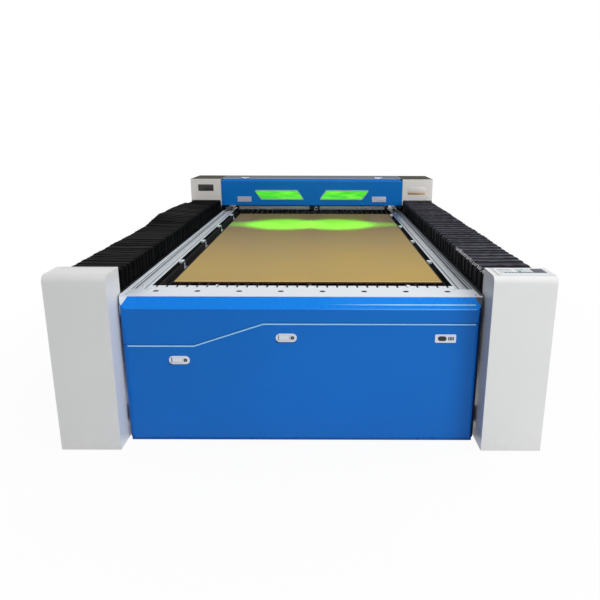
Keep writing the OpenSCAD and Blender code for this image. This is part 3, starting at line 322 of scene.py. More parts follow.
@dataclass(frozen=True)
class Fibreboard:
    """Smooth sealed board: fibre flecks, blotches, faint scratches and painted shade darkening it towards the
    rear.
    """

    colour: Colour
    gloss: float = 0.34
    smoke: float = 0.70

    def dress(self, graph: Graph) -> Material:
        """Returns the board's face as a material."""
        here = graph.place()
        blotch = graph.patches(here, 1.3, 5.0, 0.3, 0.7)
        fibre = graph.noise(graph.place(1.0, 3.2, 1.0), 150.0, 6.0)
        fleck = graph.patches(here, 620.0, 2.0, 0.58, 0.72, 0.0, 0.5)
        tone = graph.vary(blotch, self.colour, 0.9, 1.1)
        tone = graph.mix(graph.spread(fibre, 0.35, 0.65, 0.0, 0.35), tone, scaled(self.colour, 0.74))
        tone = graph.mix(fleck, tone, scaled(self.colour, 0.5))
        scratch = graph.patches(graph.place(0.5, 26.0, 1.0), 3.2, 2.0, 0.70, 0.74, 0.0, 0.35)
        cross = graph.patches(graph.place(30.0, 0.7, 1.0), 2.6, 2.0, 0.72, 0.76, 0.0, 0.25)
        rubbed = graph.math("ADD", scratch, cross)
        # Painted shade: the board darkens towards the gantry at the rear.
        smoke = graph.spread(graph.axis("Y"), -1.4, 0.5, 0.0, self.smoke)
        tone = graph.mix(smoke, tone, srgb(88, 78, 44))
        tone = graph.mix(graph.math("MULTIPLY", rubbed, 0.5), tone, srgb(232, 206, 150))
        rough = graph.math("ADD", graph.spread(blotch, 0.0, 1.0, self.gloss, self.gloss + 0.08),
                           graph.math("MULTIPLY", rubbed, 0.3))
        return graph.shade(Base_Color=tone, Roughness=rough, Specular_IOR_Level=0.07,
                           Normal=graph.bump(fibre, 0.00003))


@dataclass(frozen=True)
class SawnEdge:
    """Open sawn side of a fibreboard, with layers along the board."""

    colour: Colour

    def dress(self, graph: Graph) -> Material:
        """Returns the sawn side as a material."""
        layers = graph.patches(graph.place(6.0, 6.0, 700.0), 1.0, 4.0, 0.35, 0.65)
        crumbs = graph.noise(graph.place(), 480.0, 4.0)
        return graph.shade(Base_Color=graph.vary(layers, self.colour, 0.8, 1.0), Roughness=0.85,
                           Normal=graph.bump(crumbs, 0.0003))


@dataclass(frozen=True)
class PleatedCloth:
    """Coated black cloth: ridges lightened by rubbing and by a painted highlight, dull valleys, side walls
    near black as painted shade, a fine weave and lint streaks.
    """

    colour: Colour
    ridge: Colour
    lint: float
    sheen: float

    def dress(self, graph: Graph) -> Material:
        """Returns the cloth as a material."""
        here, tone = graph.place(), graph.layer("tone")
        # The ridges' lighter colour is partly rubbed wear, partly painted highlight.
        rub_and_highlight = graph.math("MULTIPLY", graph.spread(graph.layer("ridge"), 0.55, 1.0),
                         graph.patches(here, 24.0, 5.0, 0.35, 0.75))
        base = graph.mix(rub_and_highlight, graph.vary(tone, self.colour, 0.55, 1.6), self.ridge)
        streak = graph.patches(graph.place(9.0, 90.0, 4.0), 3.0, 4.0, 0.6, 0.8, 0.0, self.lint)
        base = graph.mix(streak, base, srgb(92, 92, 98))
        # Painted shade: the side walls go near black.
        base = graph.mix(graph.layer("wall"), base, srgb(3, 3, 4))
        weave = graph.add("TexWave", {"Vector": here, "Scale": 420.0, "Distortion": 1.5}).outputs["Fac"]
        return graph.shade(Base_Color=base, Roughness=graph.spread(tone, 0.0, 1.0, 0.62, 0.5),
                           Normal=graph.bump(weave, 0.0001), Specular_IOR_Level=self.sheen)


@dataclass(frozen=True)
class Moulding:
    """Moulded plastic or rubber with a fine spark-eroded grain."""

    colour: Colour
    roughness: float
    grain: float = 0.00012
    cloud: float = 0.06

    def dress(self, graph: Graph) -> Material:
        """Returns the moulding as a material."""
        here = graph.place()
        clouds = graph.patches(here, 12.0, 4.0, 0.3, 0.7)
        rough = graph.spread(clouds, 0.0, 1.0, self.roughness - 0.05, self.roughness + 0.05)
        return graph.shade(Base_Color=graph.vary(clouds, self.colour, 1 - self.cloud, 1 + self.cloud),
                           Roughness=rough, Normal=graph.bump(graph.noise(here, 900.0, 2.0), self.grain))


@dataclass(frozen=True)
class Casting:
    """Painted sand casting with a pebbly skin and worn high spots."""

    colour: Colour

    def dress(self, graph: Graph) -> Material:
        """Returns the casting as a material."""
        here = graph.place()
        worn = graph.patches(here, 26.0, 4.0, 0.62, 0.78, 0.0, 0.5)
        return graph.shade(Base_Color=graph.mix(worn, self.colour, srgb(92, 92, 94)), Roughness=0.55,
                           Metallic=0.2, Normal=graph.bump(graph.noise(here, 210.0, 5.0), 0.0004))


@dataclass(frozen=True)
class LaserGlass:
    """Clear glass of the laser tube with faint drawing waves."""

    colour: Colour

    def dress(self, graph: Graph) -> Material:
        """Returns the glass as a material."""
        waves = graph.noise(graph.place(1.5, 30.0, 30.0), 1.0, 2.0)
        tone = graph.vary(graph.spread(waves, 0.4, 0.6), self.colour, 1.0, 1.05)
        return graph.shade(Base_Color=tone, Roughness=0.04, IOR=1.47, Transmission_Weight=0.85,
                           Normal=graph.bump(waves, 0.0002))


@dataclass(frozen=True)
class PaintedGlowPane:
    """Tinted sheet with a painted glow that stands in for the lamps behind it, brighter in streaks and
    patches.
    """

    colour: Colour
    dim: Colour

    def dress(self, graph: Graph) -> Material:
        """Returns the sheet with its painted glow as a material."""
        streaks = graph.patches(graph.place(7.0, 7.0, 60.0), 1.0, 4.0, 0.35, 0.6)
        patches = graph.patches(graph.place(3.0, 3.0, 14.0), 2.0, 3.0, 0.35, 0.6)
        light = graph.mix(graph.math("MULTIPLY", streaks, patches), self.dim, self.colour)
        return graph.shade(Base_Color=scaled(self.colour, 0.35), Roughness=0.16, Coat_Weight=0.5,
                           Emission_Color=light, Emission_Strength=1.0)


@dataclass(frozen=True)
class DisplayGlass:
    """Pale display behind a clear window, with faint clouds and cells."""

    colour: Colour

    def dress(self, graph: Graph) -> Material:
        """Returns the display as a material."""
        cells = graph.add("TexWave", {"Vector": graph.place(), "Scale": 300.0}).outputs["Fac"]
        clouds = graph.patches(graph.place(), 18.0, 2.0, 0.35, 0.65)
        tone = graph.mix(graph.spread(cells, 0.4, 0.6, 0.0, 0.12),
                         graph.vary(clouds, self.colour, 1.0, 0.82), scaled(self.colour, 0.6))
        return graph.shade(Base_Color=tone, Roughness=0.1, Coat_Weight=0.6, Coat_Roughness=0.03)


class Finish(Enum):
    """Every finish on the machine; the slot finishes carry the record's slot names."""

    frame_paint = Enamel(srgb(96, 102, 108), 0.5, 0.05, shine=0.25)
    blue_paint = Enamel(srgb(2, 110, 203), 0.3, 0.08, 0.04, 0.06, 0.16)
    beam_blue = Enamel(srgb(2, 116, 206), 0.32, 0.06, 0.04, 0.0, 0.16)
    # Painted light: a lighter copy of the front's blue for the sloped band that faces up.
    band_blue = Enamel(srgb(0, 136, 244), 0.28, 0.08, 0.05, 0.0, 0.16)
    # Painted highlights: the bend under the sloped band and the crease along its right half.
    fold_blue = FoldHighlight(srgb(20, 132, 238), srgb(96, 178, 250), 0.0, 0.6)
    crease_blue = FoldHighlight(srgb(8, 140, 246), srgb(178, 238, 255), 0.12, 0.46)
    strip_blue = Enamel(srgb(2, 92, 176), 0.5, 0.0, 0.05, 0.1, 0.1)
    # Painted highlight: the pale bead along the door's upper edge.
    seam_blue = FoldHighlight(srgb(166, 226, 255), srgb(140, 204, 255), -0.9, 0.9)
    # Painted shade: a dark navy copy of the front's blue for the returns that turn to the shaded right side.
    seam_navy = Enamel(srgb(4, 34, 84), 0.4, 0.05, 0.05, 0.0, 0.2)
    white_paint = Enamel(srgb(231, 232, 231), 0.34, 0.12, 0.015, 0.07)
    # Painted shade: a grey copy of the white paint for the right tower's inner wall.
    return_grey = Enamel(srgb(176, 180, 188), 0.34, 0.12, 0.015, 0.07)
    cap_paint = Enamel(srgb(234, 230, 228), 0.36, 0.1, 0.02, 0.0)
    # Painted shade: a dark olive copy for the end caps' tops, which look dark from how light falls on them.
    cap_top = Enamel(srgb(60, 57, 45), 0.6, 0.0, 0.12, 0.0, 0.05)
    cover_grey = Enamel(srgb(120, 118, 132), 0.5, 0.0, 0.04, 0.0, 0.2)
    # Painted shade: darker copies for the rails' groove floors.
    groove_grey = Enamel(srgb(150, 156, 160), 0.4, 0.05, 0.05, 0.0)
    groove_dark = Enamel(srgb(72, 76, 82), 0.45, 0.05, 0.05, 0.0)
    rim_paint = Enamel(srgb(230, 238, 246), 0.32, 0.15, 0.02, 0.0)
    dark_paint = Enamel(srgb(20, 20, 23), 0.45, 0.04, 0.1, 0.1, 0.2)
    plain_steel = BareMetal(srgb(186, 188, 192), 0.3, Grain.ALONG_X)
    sheet_zinc = Galvanised(srgb(172, 177, 182))
    slat_steel = ScorchedSteel(srgb(22, 22, 24))
    aluminium = BareMetal(srgb(192, 198, 204), 0.34, Grain.ALONG_Y, 0.06)
    # Painted shade: a grey copy of the white rim for the right lip and the right cut corner, which lie in
    # shade.
    lip_steel = Enamel(srgb(84, 88, 95), 0.45, 0.0, 0.08, 0.0, 0.25)
    latch_metal = BareMetal(srgb(206, 212, 222), 0.34, Grain.ALONG_X, 0.03)
    lid_latch = BareMetal(srgb(206, 208, 226), 0.34, Grain.ALONG_X, 0.0)
    board_wood = Fibreboard(srgb(190, 157, 72))
    # Painted highlight: a paler copy of the board's face along its front rim.
    board_rim = Fibreboard(srgb(226, 192, 130))
    # Painted shade: the sawn sides' own brown darkened for the shade that lies on them.
    board_edge = SawnEdge(srgb(78, 48, 22))
    foot_rubber = Moulding(srgb(26, 26, 27), 0.7, 0.0003)
    belt_rubber = Moulding(srgb(22, 22, 23), 0.65, 0.0002)
    bellows_cloth = PleatedCloth(srgb(27, 27, 33), srgb(88, 88, 104), 0.35, 0.03)
    # Painted shade: a darker copy of the cloth for the left front cover.
    bellows_dull = PleatedCloth(srgb(2, 2, 3), srgb(8, 9, 9), 0.03, 0.01)
    stitch_thread = Moulding(srgb(214, 214, 216), 0.7)
    bezel_plastic = Moulding(srgb(226, 229, 231), 0.42, 0.00006, 0.02)
    screen = DisplayGlass(srgb(168, 204, 208))
    keypad = Moulding(srgb(58, 68, 84), 0.45, 0.00008)
    key_print = Moulding(srgb(196, 204, 210), 0.5)
    tube_glass = LaserGlass((0.80, 0.92, 0.95, 1.0))
    window_rim = Moulding(srgb(158, 214, 178), 0.25, 0.00004)
    window_pane = PaintedGlowPane(srgb(110, 240, 60), srgb(30, 190, 40))
    motor_black = Casting(srgb(34, 34, 36))
    zinc_screw = BareMetal(srgb(190, 190, 186), 0.32, Grain.ALONG_Z)
    lock_black = Moulding(srgb(20, 20, 22), 0.35)
    plate_dark = Moulding(srgb(38, 36, 38), 0.4, 0.00004)
    plate_gold = BareMetal(srgb(168, 138, 84), 0.4, Grain.ALONG_X)

    @property
    def material(self) -> Material:
        """The finish's material, made once."""
        name = f"{self.name}_finish"
        return bpy.data.materials.get(name) or self.value.dress(Graph(bpy.data.materials.new(name)))


def show(name: str, shape: Shape) -> Thing:
    """Puts a shape in the scene as an object.

    Args:
        name: Name of the object and its mesh.
        shape: The shape; it is freed here.

    Returns:
        The new object.
    """
    mesh = bpy.data.meshes.new(name)
    shape.to_mesh(mesh)
    shape.free()
    thing = bpy.data.objects.new(name, mesh)
    bpy.context.scene.collection.objects.link(thing)
    return thing


def finish_piece(name: str, shape: Shape, body: str, finishes: Sequence[Finish],
                 sharp: float = 32.0) -> Thing:
    """Turns a finished shape into a piece of the machine.

    Args:
        name: Name of the piece.
        shape: The shape, in place; it is freed here.
        body: Moving body that the piece rides on; empty when it is tied later or not at all.
        finishes: Finishes by material number.
        sharp: Angle in degrees past which an edge stays sharp.

    Returns:
        The new object.
    """
    piece = show(name, shape)
    piece.data.shade_smooth()
    piece.data.set_sharp_from_angle(angle=math.radians(sharp))
    for finish in finishes:
        piece.data.materials.append(finish.material)
    if body:
        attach(piece, body)
    LOG.info("piece %s: %d faces", name, len(piece.data.polygons))
    return piece


def faces_of(verts: Iterable[Vert]) -> set[Face]:
    """Returns every face that meets one of the points."""
    return {face for vert in verts for face in vert.link_faces}


def edges_of(verts: Iterable[Vert]) -> list[Edge]:
    """Returns every edge that meets one of the points."""
    return list({edge for vert in verts for edge in vert.link_edges})


def soften(shape: Shape, edges: list[Edge], radius: float, segments: int, clamp: bool = True) -> None:
    """Rounds edges of a shape.

    Args:
        shape: Shape that holds the edges.
        edges: The edges to round.
        radius: Radius of the rounding.
        segments: Number of flats in it.
        clamp: Whether the radius shrinks where two roundings would meet.
    """
    bmesh.ops.bevel(shape, geom=edges, offset=radius, offset_type="OFFSET", segments=segments,
                    profile=0.5, affect="EDGES", clamp_overlap=clamp, material=-1)


def pull_out(shape: Shape, ring: list[Edge],
             step: Sequence[float]) -> tuple[list[Vert], list[Edge], set[Face]]:
    """Pulls new faces out of a ring of edges.

    Args:
        shape: Shape that holds the ring.
        ring: The edges to pull from.
        step: Way from the old ring to the new one.

    Returns:
        The new ring's points, its edges and the faces between the rings.
    """
    made = bmesh.ops.extrude_edge_only(shape, edges=ring)["geom"]
    verts = [item for item in made if isinstance(item, Vert)]
    ends = set(verts)
    edges = [item for item in made if isinstance(item, Edge) and ends.issuperset(item.verts)]
    bmesh.ops.translate(shape, verts=verts, vec=step)
    return verts, edges, {item for item in made if isinstance(item, Face)}


def add_block(shape: Shape, low: Sequence[float], high: Sequence[float], bevel: float = 0.0,
              material: int = 0) -> None:
    """Adds a box to a shape.

    Args:
        shape: Shape to add to.
        low: Lowest corner.
        high: Highest corner.
        bevel: Width of its softened edges, 0 for sharp ones.
        material: Material number of its faces.
    """
    size = Vector(high) - Vector(low)
    place = Matrix.Translation((Vector(high) + Vector(low)) / 2) @ Matrix.Diagonal((*size, 1.0))
    made = bmesh.ops.create_cube(shape, size=1.0, matrix=place)["verts"]
    for face in faces_of(made):
        face.material_index = material
    if bevel > 0:
        soften(shape, edges_of(made), bevel, 2)


def add_rod(shape: Shape, path: Sequence[Point], radius: float, material: int = 0) -> None:
    """Adds a round rod that runs from left to right along a path.

    Args:
        shape: Shape to add to.
        path: Points of the rod's centre line.
        radius: Radius of the rod.
        material: Material number of its faces.
    """
    place = Matrix.Translation(path[0]) @ Matrix.Rotation(QUARTER, 4, "Y")
    verts = bmesh.ops.create_circle(shape, cap_ends=True, segments=10, radius=radius, matrix=place)["verts"]
    ring, faces = edges_of(verts), faces_of(verts)
    for here, there in zip(path, path[1:]):
        _, ring, sides = pull_out(shape, ring, Vector(there) - Vector(here))
        faces |= sides
    faces |= set(bmesh.ops.contextual_create(shape, geom=ring)["faces"])
    for face in faces:
        face.material_index = material
    bmesh.ops.recalc_face_normals(shape, faces=list(faces))


@dataclass
class Stud:
    """Low round part with a sunk middle: a screw's head, a lock's face or a cup."""

    radius: float
    top_radius: float
    height: float
    rim: float
    wall: float
    sink: float
    segments: int = 24

    def add(self, shape: Shape, place: Matrix, facing: Vector) -> None:
        """Adds the stud to a shape.

        Args:
            shape: Shape to add to.
            place: Place and turn of its middle.
            facing: Direction that its sunk end faces.
        """
        made = bmesh.ops.create_cone(shape, cap_ends=True, segments=self.segments, radius1=self.radius,
                                     radius2=self.top_radius, depth=self.height, matrix=place)["verts"]
        top = max(faces_of(made), key=lambda face: face.calc_center_median().dot(facing))
        bmesh.ops.inset_region(shape, faces=[top], thickness=self.rim)
        bmesh.ops.inset_region(shape, faces=[top], thickness=self.wall, depth=-self.sink)


@dataclass
class ScrewSet:
    """Round-headed screws with a driver recess, gathered in one piece for each body."""

    name: str
    body: str
    places: Iterable[Point]
    facing: Vector
    radius: float
    height: float
    bedded: float = 0.0004

    def build(self) -> None:
        """Builds the screws at their places."""
        shape = bmesh.new()
        turn = self.facing.to_track_quat("Z", "Y").to_matrix().to_4x4()
        head = Stud(self.radius, self.radius * 0.78, self.height, self.radius * 0.34, 0.0002,
                    self.height * 0.6, 14)
        for place in self.places:
            sunk = Matrix.Translation(Vector(place) + self.facing * (self.height / 2 - self.bedded))
            head.add(shape, sunk @ turn, self.facing)
        finish_piece(self.name, shape, self.body, (Finish.zinc_screw,))


def spaced(low: float, high: float, margin: float, count: int) -> list[float]:
    """Returns evenly spaced places between two ends, the outer ones a margin inside them."""
    return [low + margin + step * (high - low - 2 * margin) / (count - 1) for step in range(count)]


@dataclass
class FoldedSheet:
    """A folded or machined part of the frame, rebuilt with rounded outer folds."""

    node: str
    finishes: tuple[Finish, ...]
    radius: float
    segments: int = 2
    pick: Callable[[Face], int] | None = None
    cuts: tuple[tuple[Point, Point], ...] = ()
    corner: float = 0.0
    corner_above: float = 0.0
    room: float = 2.2

    def is_wide(self, edge: Edge, radius: float) -> bool:
        """Says whether both faces at an edge have room for a rounding of that radius."""
        return min(face.calc_area() for face in edge.link_faces) / edge.calc_length() > self.room * radius

    def is_fold(self, edge: Edge) -> bool:
        """Says whether an edge is a convex fold between two wide faces."""
        if len(edge.link_faces) != 2 or edge.calc_length() < 4 * self.radius:
            return False
        return edge.calc_face_angle_signed(0.0) >= math.radians(25) and self.is_wide(edge, self.radius)

    def is_corner(self, edge: Edge) -> bool:
        """Says whether an edge is a square corner of a plate that is seen from the front."""
        along = (edge.verts[1].co - edge.verts[0].co).normalized()
        if len(edge.link_faces) != 2 or abs(along.y) < 0.99 or edge.verts[0].co.z < self.corner_above:
            return False
        square = math.radians(80) < edge.calc_face_angle_signed(0.0) < math.radians(100)
        return square and self.is_wide(edge, self.corner)

    def build(self) -> None:
        """Builds the rounded part and puts it in the place of its node."""
        shape = bmesh.new()
        shape.from_mesh(frame["nodes"][self.node].data)
        bmesh.ops.remove_doubles(shape, verts=shape.verts, dist=1e-5)
        bmesh.ops.dissolve_limit(shape, angle_limit=math.radians(1), verts=shape.verts, edges=shape.edges)
        if self.corner:
            soften(shape, [edge for edge in shape.edges if self.is_corner(edge)], self.corner, 5, False)
        soften(shape, [edge for edge in shape.edges if self.is_fold(edge)], self.radius, self.segments)
        for place, across in self.cuts:
            bmesh.ops.bisect_plane(shape, geom=[*shape.verts, *shape.edges, *shape.faces],
                                   plane_co=place, plane_no=across)
        if self.pick:
            for face in shape.faces:
                face.material_index = self.pick(face)
        piece = finish_piece(f"{self.node}_skin", shape, BODY_OF[self.node],
                             self.finishes)
        piece.modifiers.new("even normals", "WEIGHTED_NORMAL").keep_sharp = True
        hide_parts(self.node)


def fold(finish: Finish, radius: float, segments: int, *nodes: str) -> None:
    """Rebuilds plain parts that share one finish and one fold radius."""
    for node in nodes:
        FoldedSheet(node, (finish,), radius, segments).build()


@dataclass
class BellowsCover:
    """Pleated cloth cover over one side guide, open below and along its ends."""

    node: str
    seed: int
    pleats: int
    depth: float
    holder: str = "rear_towers"
    cloth: Finish = Finish.bellows_cloth
    crown: float = 0.003
    sag: float = 0.003
    wander: float = 0.003
    hump: float = 0.0
    uneven: float = 0.0
    stitched: bool = False
    wall: float = 0.0012
    corner: float = 0.010
    end_gap: float = 0.0002
    stitched_pleats: int = 8

    def __post_init__(self) -> None:
        """Reads the cover's place from its node and shares its length among the pleats."""
        self.low, self.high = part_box(self.node)
        self.side = 1 if self.low.x > 0 else -1
        self.inner, self.outer = sorted((abs(self.low.x), abs(self.high.x)))
        self.width, self.height = self.outer - self.inner, self.high.z - self.low.z
        self.length = self.high.y - self.low.y
        self.random = random.Random(self.seed)
        shares = [self.random.uniform(1 - self.uneven, 1 + self.uneven) for _ in range(self.pleats)]
        self.pitches = [share * (self.length - 2 * self.end_gap) / sum(shares) for share in shares]

    def first_ring(self, shape: Shape) -> list[Edge]:
        """Draws the upside-down U of the cover's front end.

        Args:
            shape: Empty shape to draw in.

        Returns:
            The edges of the ring, finely divided.
        """
        z_low, z_high, c = self.low.z, self.high.z - 0.0005, self.corner
        inner, outer = self.inner, self.outer
        outline = [(inner, z_low), (inner, z_high - c), (inner + 0.3 * c, z_high - 0.3 * c),
                   (inner + c, z_high), (outer - c, z_high), (outer - 0.3 * c, z_high - 0.3 * c),
                   (outer, z_high - c), (outer, z_low)]
        verts = [shape.verts.new((x * self.side, self.low.y + self.end_gap, z)) for x, z in outline]
        edges = [shape.edges.new(pair) for pair in zip(verts, verts[1:])]
        bmesh.ops.subdivide_edges(shape, edges=[edges[0], edges[-1]], cuts=3)
        bmesh.ops.subdivide_edges(shape, edges=[edges[3]], cuts=7)
        return list(shape.edges)

    def pull(self, shape: Shape, ring: list[Edge], rings: Rings) -> None:
        """Pulls the ring along the guide, pleat by pleat.

        Args:
            shape: Shape that holds the ring.
            ring: Edges of the first ring.
            rings: Share of the pitch and share of the depth of each ring in a pleat.
        """
        ridge, tone, wall = (shape.verts.layers.float.new(name) for name in ("ridge", "tone", "wall"))
        for vert in shape.verts:
            vert[ridge] = 1.0
        centre = Vector(((self.inner + self.outer) / 2 * self.side, 0, self.low.z))
        last_sink = 0.0
        for pitch in self.pitches:
            shade = self.random.random()
            deep = self.depth * self.random.uniform(0.75, 1.0)
            last_share = 0.0
            for share, part in rings:
                verts, ring, _ = pull_out(shape, ring, (0, (share - last_share) * pitch, 0))
                sink = deep * part
                grow = Vector(((self.width - 2 * sink) / (self.width - 2 * last_sink), 1,
                               (self.height - sink) / (self.height - last_sink)))
                bmesh.ops.scale(shape, verts=verts, vec=grow, space=Matrix.Translation(-centre))
                for vert in verts:
                    vert[ridge] = 1.0 - part
                    vert[tone] = shade
                    # Marks the side walls for the cloth's near-black painted shade.
                    vert[wall] = 0.85 if vert.co.z < self.high.z - 2.5 * self.corner else 0.0
                last_sink, last_share = sink, share

    def slump(self, verts: Iterable[Vert]) -> None:
        """Lets the cloth swell and sag between its ends and wander from its line.

        Args:
            verts: Points of the cover to move.
        """
        for vert in verts:
            along = (vert.co.y - self.low.y) / self.length
            free = math.sin(math.pi * min(1.0, max(0.0, along))) ** 0.5
            across = min(1.0, max(0.0, (abs(vert.co.x) - self.inner) / self.width))
            up = (vert.co.z - self.low.z) / self.height
            arch = 1 - (2 * across - 1) ** 2
            slow = noise.noise(Vector((self.seed, vert.co.y * 1.9, 0.0)))
            quick = noise.noise(Vector((self.seed + 9, vert.co.y * 9.0, across * 1.5)))
            heap = self.hump * free * min(1.0, max(0.0, (along - 0.46) / 0.12),
                                          max(0.0, (0.93 - along) / 0.06))
            lift = self.crown * (0.6 + 0.9 * slow) * across - self.sag * arch + self.wander * quick
            vert.co.z += free * up * lift + up * heap * (0.35 + 0.65 * across) * (1 + 0.1 * quick)
            vert.co.x += free * up * self.side * self.wander * min(0.0, 0.8 * quick - 0.2)

    def stitch(self, shape: Shape) -> list[Vert]:
        """Adds short pale stitches along the first pleats' inner upper edge.

        Args:
            shape: Shape of the cover, already with its wall.

        Returns:
            The stitches' points.
        """
        size = Matrix.Diagonal((0.0026, 0.0030, 0.017, 1.0))
        x, y, verts = (self.inner + 0.0015) * self.side, self.low.y, []
        for pitch in self.pitches[:self.stitched_pleats]:
            for part in (0.2, 0.5, 0.8):
                z = self.high.z - 0.006 + 0.004 * self.random.random()
                place = Matrix.Translation((x, y + part * pitch, z))
                turn = Matrix.Rotation(math.radians(self.random.uniform(20, 75)) * self.side, 4, "Y")
                lean = Matrix.Rotation(math.radians(self.random.uniform(-40, 40)), 4, "X")
                verts += bmesh.ops.create_cube(shape, size=1.0, matrix=place @ lean @ turn @ size)["verts"]
            y += pitch
        for face in faces_of(verts):
            face.material_index = 1
        return verts

    def build(self, rings: Rings) -> Thing:
        """Builds the cover.

        Args:
            rings: Share of the pitch and share of the depth of each ring in a pleat.

        Returns:
            The new object, not yet tied to the guides.
        """
        shape = bmesh.new()
        self.pull(shape, self.first_ring(shape), rings)
        self.slump(shape.verts)
        bmesh.ops.recalc_face_normals(shape, faces=shape.faces)
        area = sum(face.calc_area() for face in shape.faces)
        bmesh.ops.solidify(shape, geom=list(shape.faces), thickness=self.wall)
        if self.stitched:
            self.slump(self.stitch(shape))
        piece = finish_piece(f"{self.node}_cloth", shape, "",
                             (self.cloth, Finish.stitch_thread), 70.0)
        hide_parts(self.node)
        return piece


@dataclass
class GuideCovers:
    """The four pleated covers between the towers and the gantry."""

    travel: float = 2.6
    lapped: Rings = ((0.06, 0.0), (0.3, 0.10), (0.6, 0.32), (0.82, 0.62), (0.91, 0.95), (0.95, 1.0),
                     (0.985, 0.3), (1.0, 0.0))
    packed: Rings = ((0.25, 0.5), (0.5, 1.0), (0.75, 0.5), (1.0, 0.0))

    def build(self) -> None:
        """Builds the covers: the front left one loose and heaped, the front right one stitched."""
        # The left front cover takes the darker cloth as painted shade.
        self.build_side("left", BellowsCover("bellows_front_left", 3, 46, 0.0028, "tower_front_left",
                                             Finish.bellows_dull, crown=0.006, hump=0.036, uneven=0.35))
        self.build_side("right", BellowsCover("bellows_front_right", 11, 38, 0.007, "tower_front_right",
                                              crown=0.004, uneven=0.35, stitched=True))

    def build_side(self, side: str, front: BellowsCover) -> None:
        """Builds one side's covers; the front one is tied to the frame, the rear one is baked in place.

        Args:
            side: Side of the machine, left or right.
            front: The side's front cover.
        """
        piece = front.build(self.lapped)
        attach(piece, "frame")
        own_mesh(piece)
        rear = BellowsCover(f"bellows_rear_{side}", front.seed + 1, 72, 0.019, sag=0.001, wander=0.002)
        piece = rear.build(self.packed)
        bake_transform(piece)


@dataclass
class CuttingBed:
    """Bed with its rims, rails and board."""

    screw_step: float = 0.47
    cup_step: float = 0.202
    cup_line: float = 0.091
    cup_radius: float = 0.0144
    cups: int = 8
    worn_rim: float = 0.014
    clip_length: float = 0.045

    def build(self) -> None:
        """Builds the rims, the board and their screws."""
        fold(Finish.rim_paint, 0.0008, 2, "front_flange", "rear_flange")
        # Groove floors and walls towards the bed are darkened as painted shade.
        for side, rail, groove in (("left", Finish.rim_paint, Finish.groove_grey),
                                   ("right", Finish.aluminium, Finish.groove_dark)):
            FoldedSheet(f"side_rail_{side}", (rail, groove, Finish.dark_paint), 0.0016,
                        pick=self.rail_face).build()
        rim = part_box("bed_board")[0].y + self.worn_rim
        FoldedSheet("bed_board", (Finish.board_wood, Finish.board_edge, Finish.board_rim), 0.0006, 1,
                    pick=lambda face: self.board_face(face, rim), cuts=(((0, rim, 0), (0, 1, 0)),)).build()
        self.beam_clips()
        fold(Finish.rim_paint, 0.002, 2, "slat_crossbeams")
        fold(Finish.sheet_zinc, 0.0015, 2, "scrap_trays")
        self.screws()
        self.hole_cups()

    def board_face(self, face: Face, rim: float) -> int:
        """Returns 1 for the board's sawn sides, dark as painted shade, 2 for its front rim, pale as a painted
        highlight, 0 for the rest.
        """
        if abs(face.normal.z) <= 0.7:
            return 1
        return 2 if face.calc_center_median().y < rim else 0

    def rail_face(self, face: Face) -> int:
        """Returns 1 for a groove's floor, darker as painted shade, 2 for a wall towards the bed, near black
        as painted shade, 0 for the rest of a rail.
        """
        place, top = face.calc_center_median(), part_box("side_rail_right")[1].z
        if place.z < top - 0.003 and face.normal.x * place.x < -0.5 * abs(place.x):
            return 2
        return int(top - 0.007 < place.z < top - 0.003)

    def beam_clips(self) -> None:
        """Adds the white clips that hold the ends of the slotted crossbeams."""
        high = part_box("slat_crossbeams")[1]
        rows = sorted({round(vert.co.y, 2) for vert in frame["nodes"]["slat_crossbeams"].data.vertices
                       if vert.co.x > high.x - 0.002})
        starts = [y for here, y in zip([-9.0] + rows, rows) if y - here > 0.12]
        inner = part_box("bed_slats")[1].x + 0.0006
        shape = bmesh.new()
        for y in starts:
            for side in (-1, 1):
                first, last = sorted((side * inner, side * high.x))
                add_block(shape, (first, y, high.z - 0.004), (last, y + self.clip_length, high.z + 0.011),
                          0.0015)
        finish_piece("crossbeam_clips", shape, "frame", (Finish.rim_paint,))

    def hole_cups(self) -> None:
        """Sets a dark rubber cup in each round hole of the front and rear flanges; its black also stands in
        for the shade inside the hole, a painted shade.
        """
        shape = bmesh.new()
        low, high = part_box("front_flange")
        cup = Stud(self.cup_radius, self.cup_radius, 0.004, 0.002, 0.001, 0.003)
        for y in (low.y + self.cup_line, -low.y - self.cup_line):
            for hole in range(self.cups):
                x = (hole - (self.cups - 1) / 2) * self.cup_step
                cup.add(shape, Matrix.Translation((x, y, high.z - 0.0024)), UP)
        finish_piece("flange_hole_shade_cups", shape, "frame", (Finish.foot_rubber,))

    def screws(self) -> None:
        """Adds the screws along the side rails and at the flanges' corners."""
        low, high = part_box("side_rail_right")
        places = []
        y = low.y + 0.06
        while y < high.y - 0.04:
            places += [(side * (low.x + 0.040), y, high.z) for side in (-1, 1)]
            y += self.screw_step
        low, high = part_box("front_flange")
        places += [(side * (high.x - 0.028), end * (low.y + 0.024), high.z)
                   for side in (-1, 1) for end in (1, -1)]
        ScrewSet("bed_screws", "frame", places, UP, 0.0065, 0.003).build()


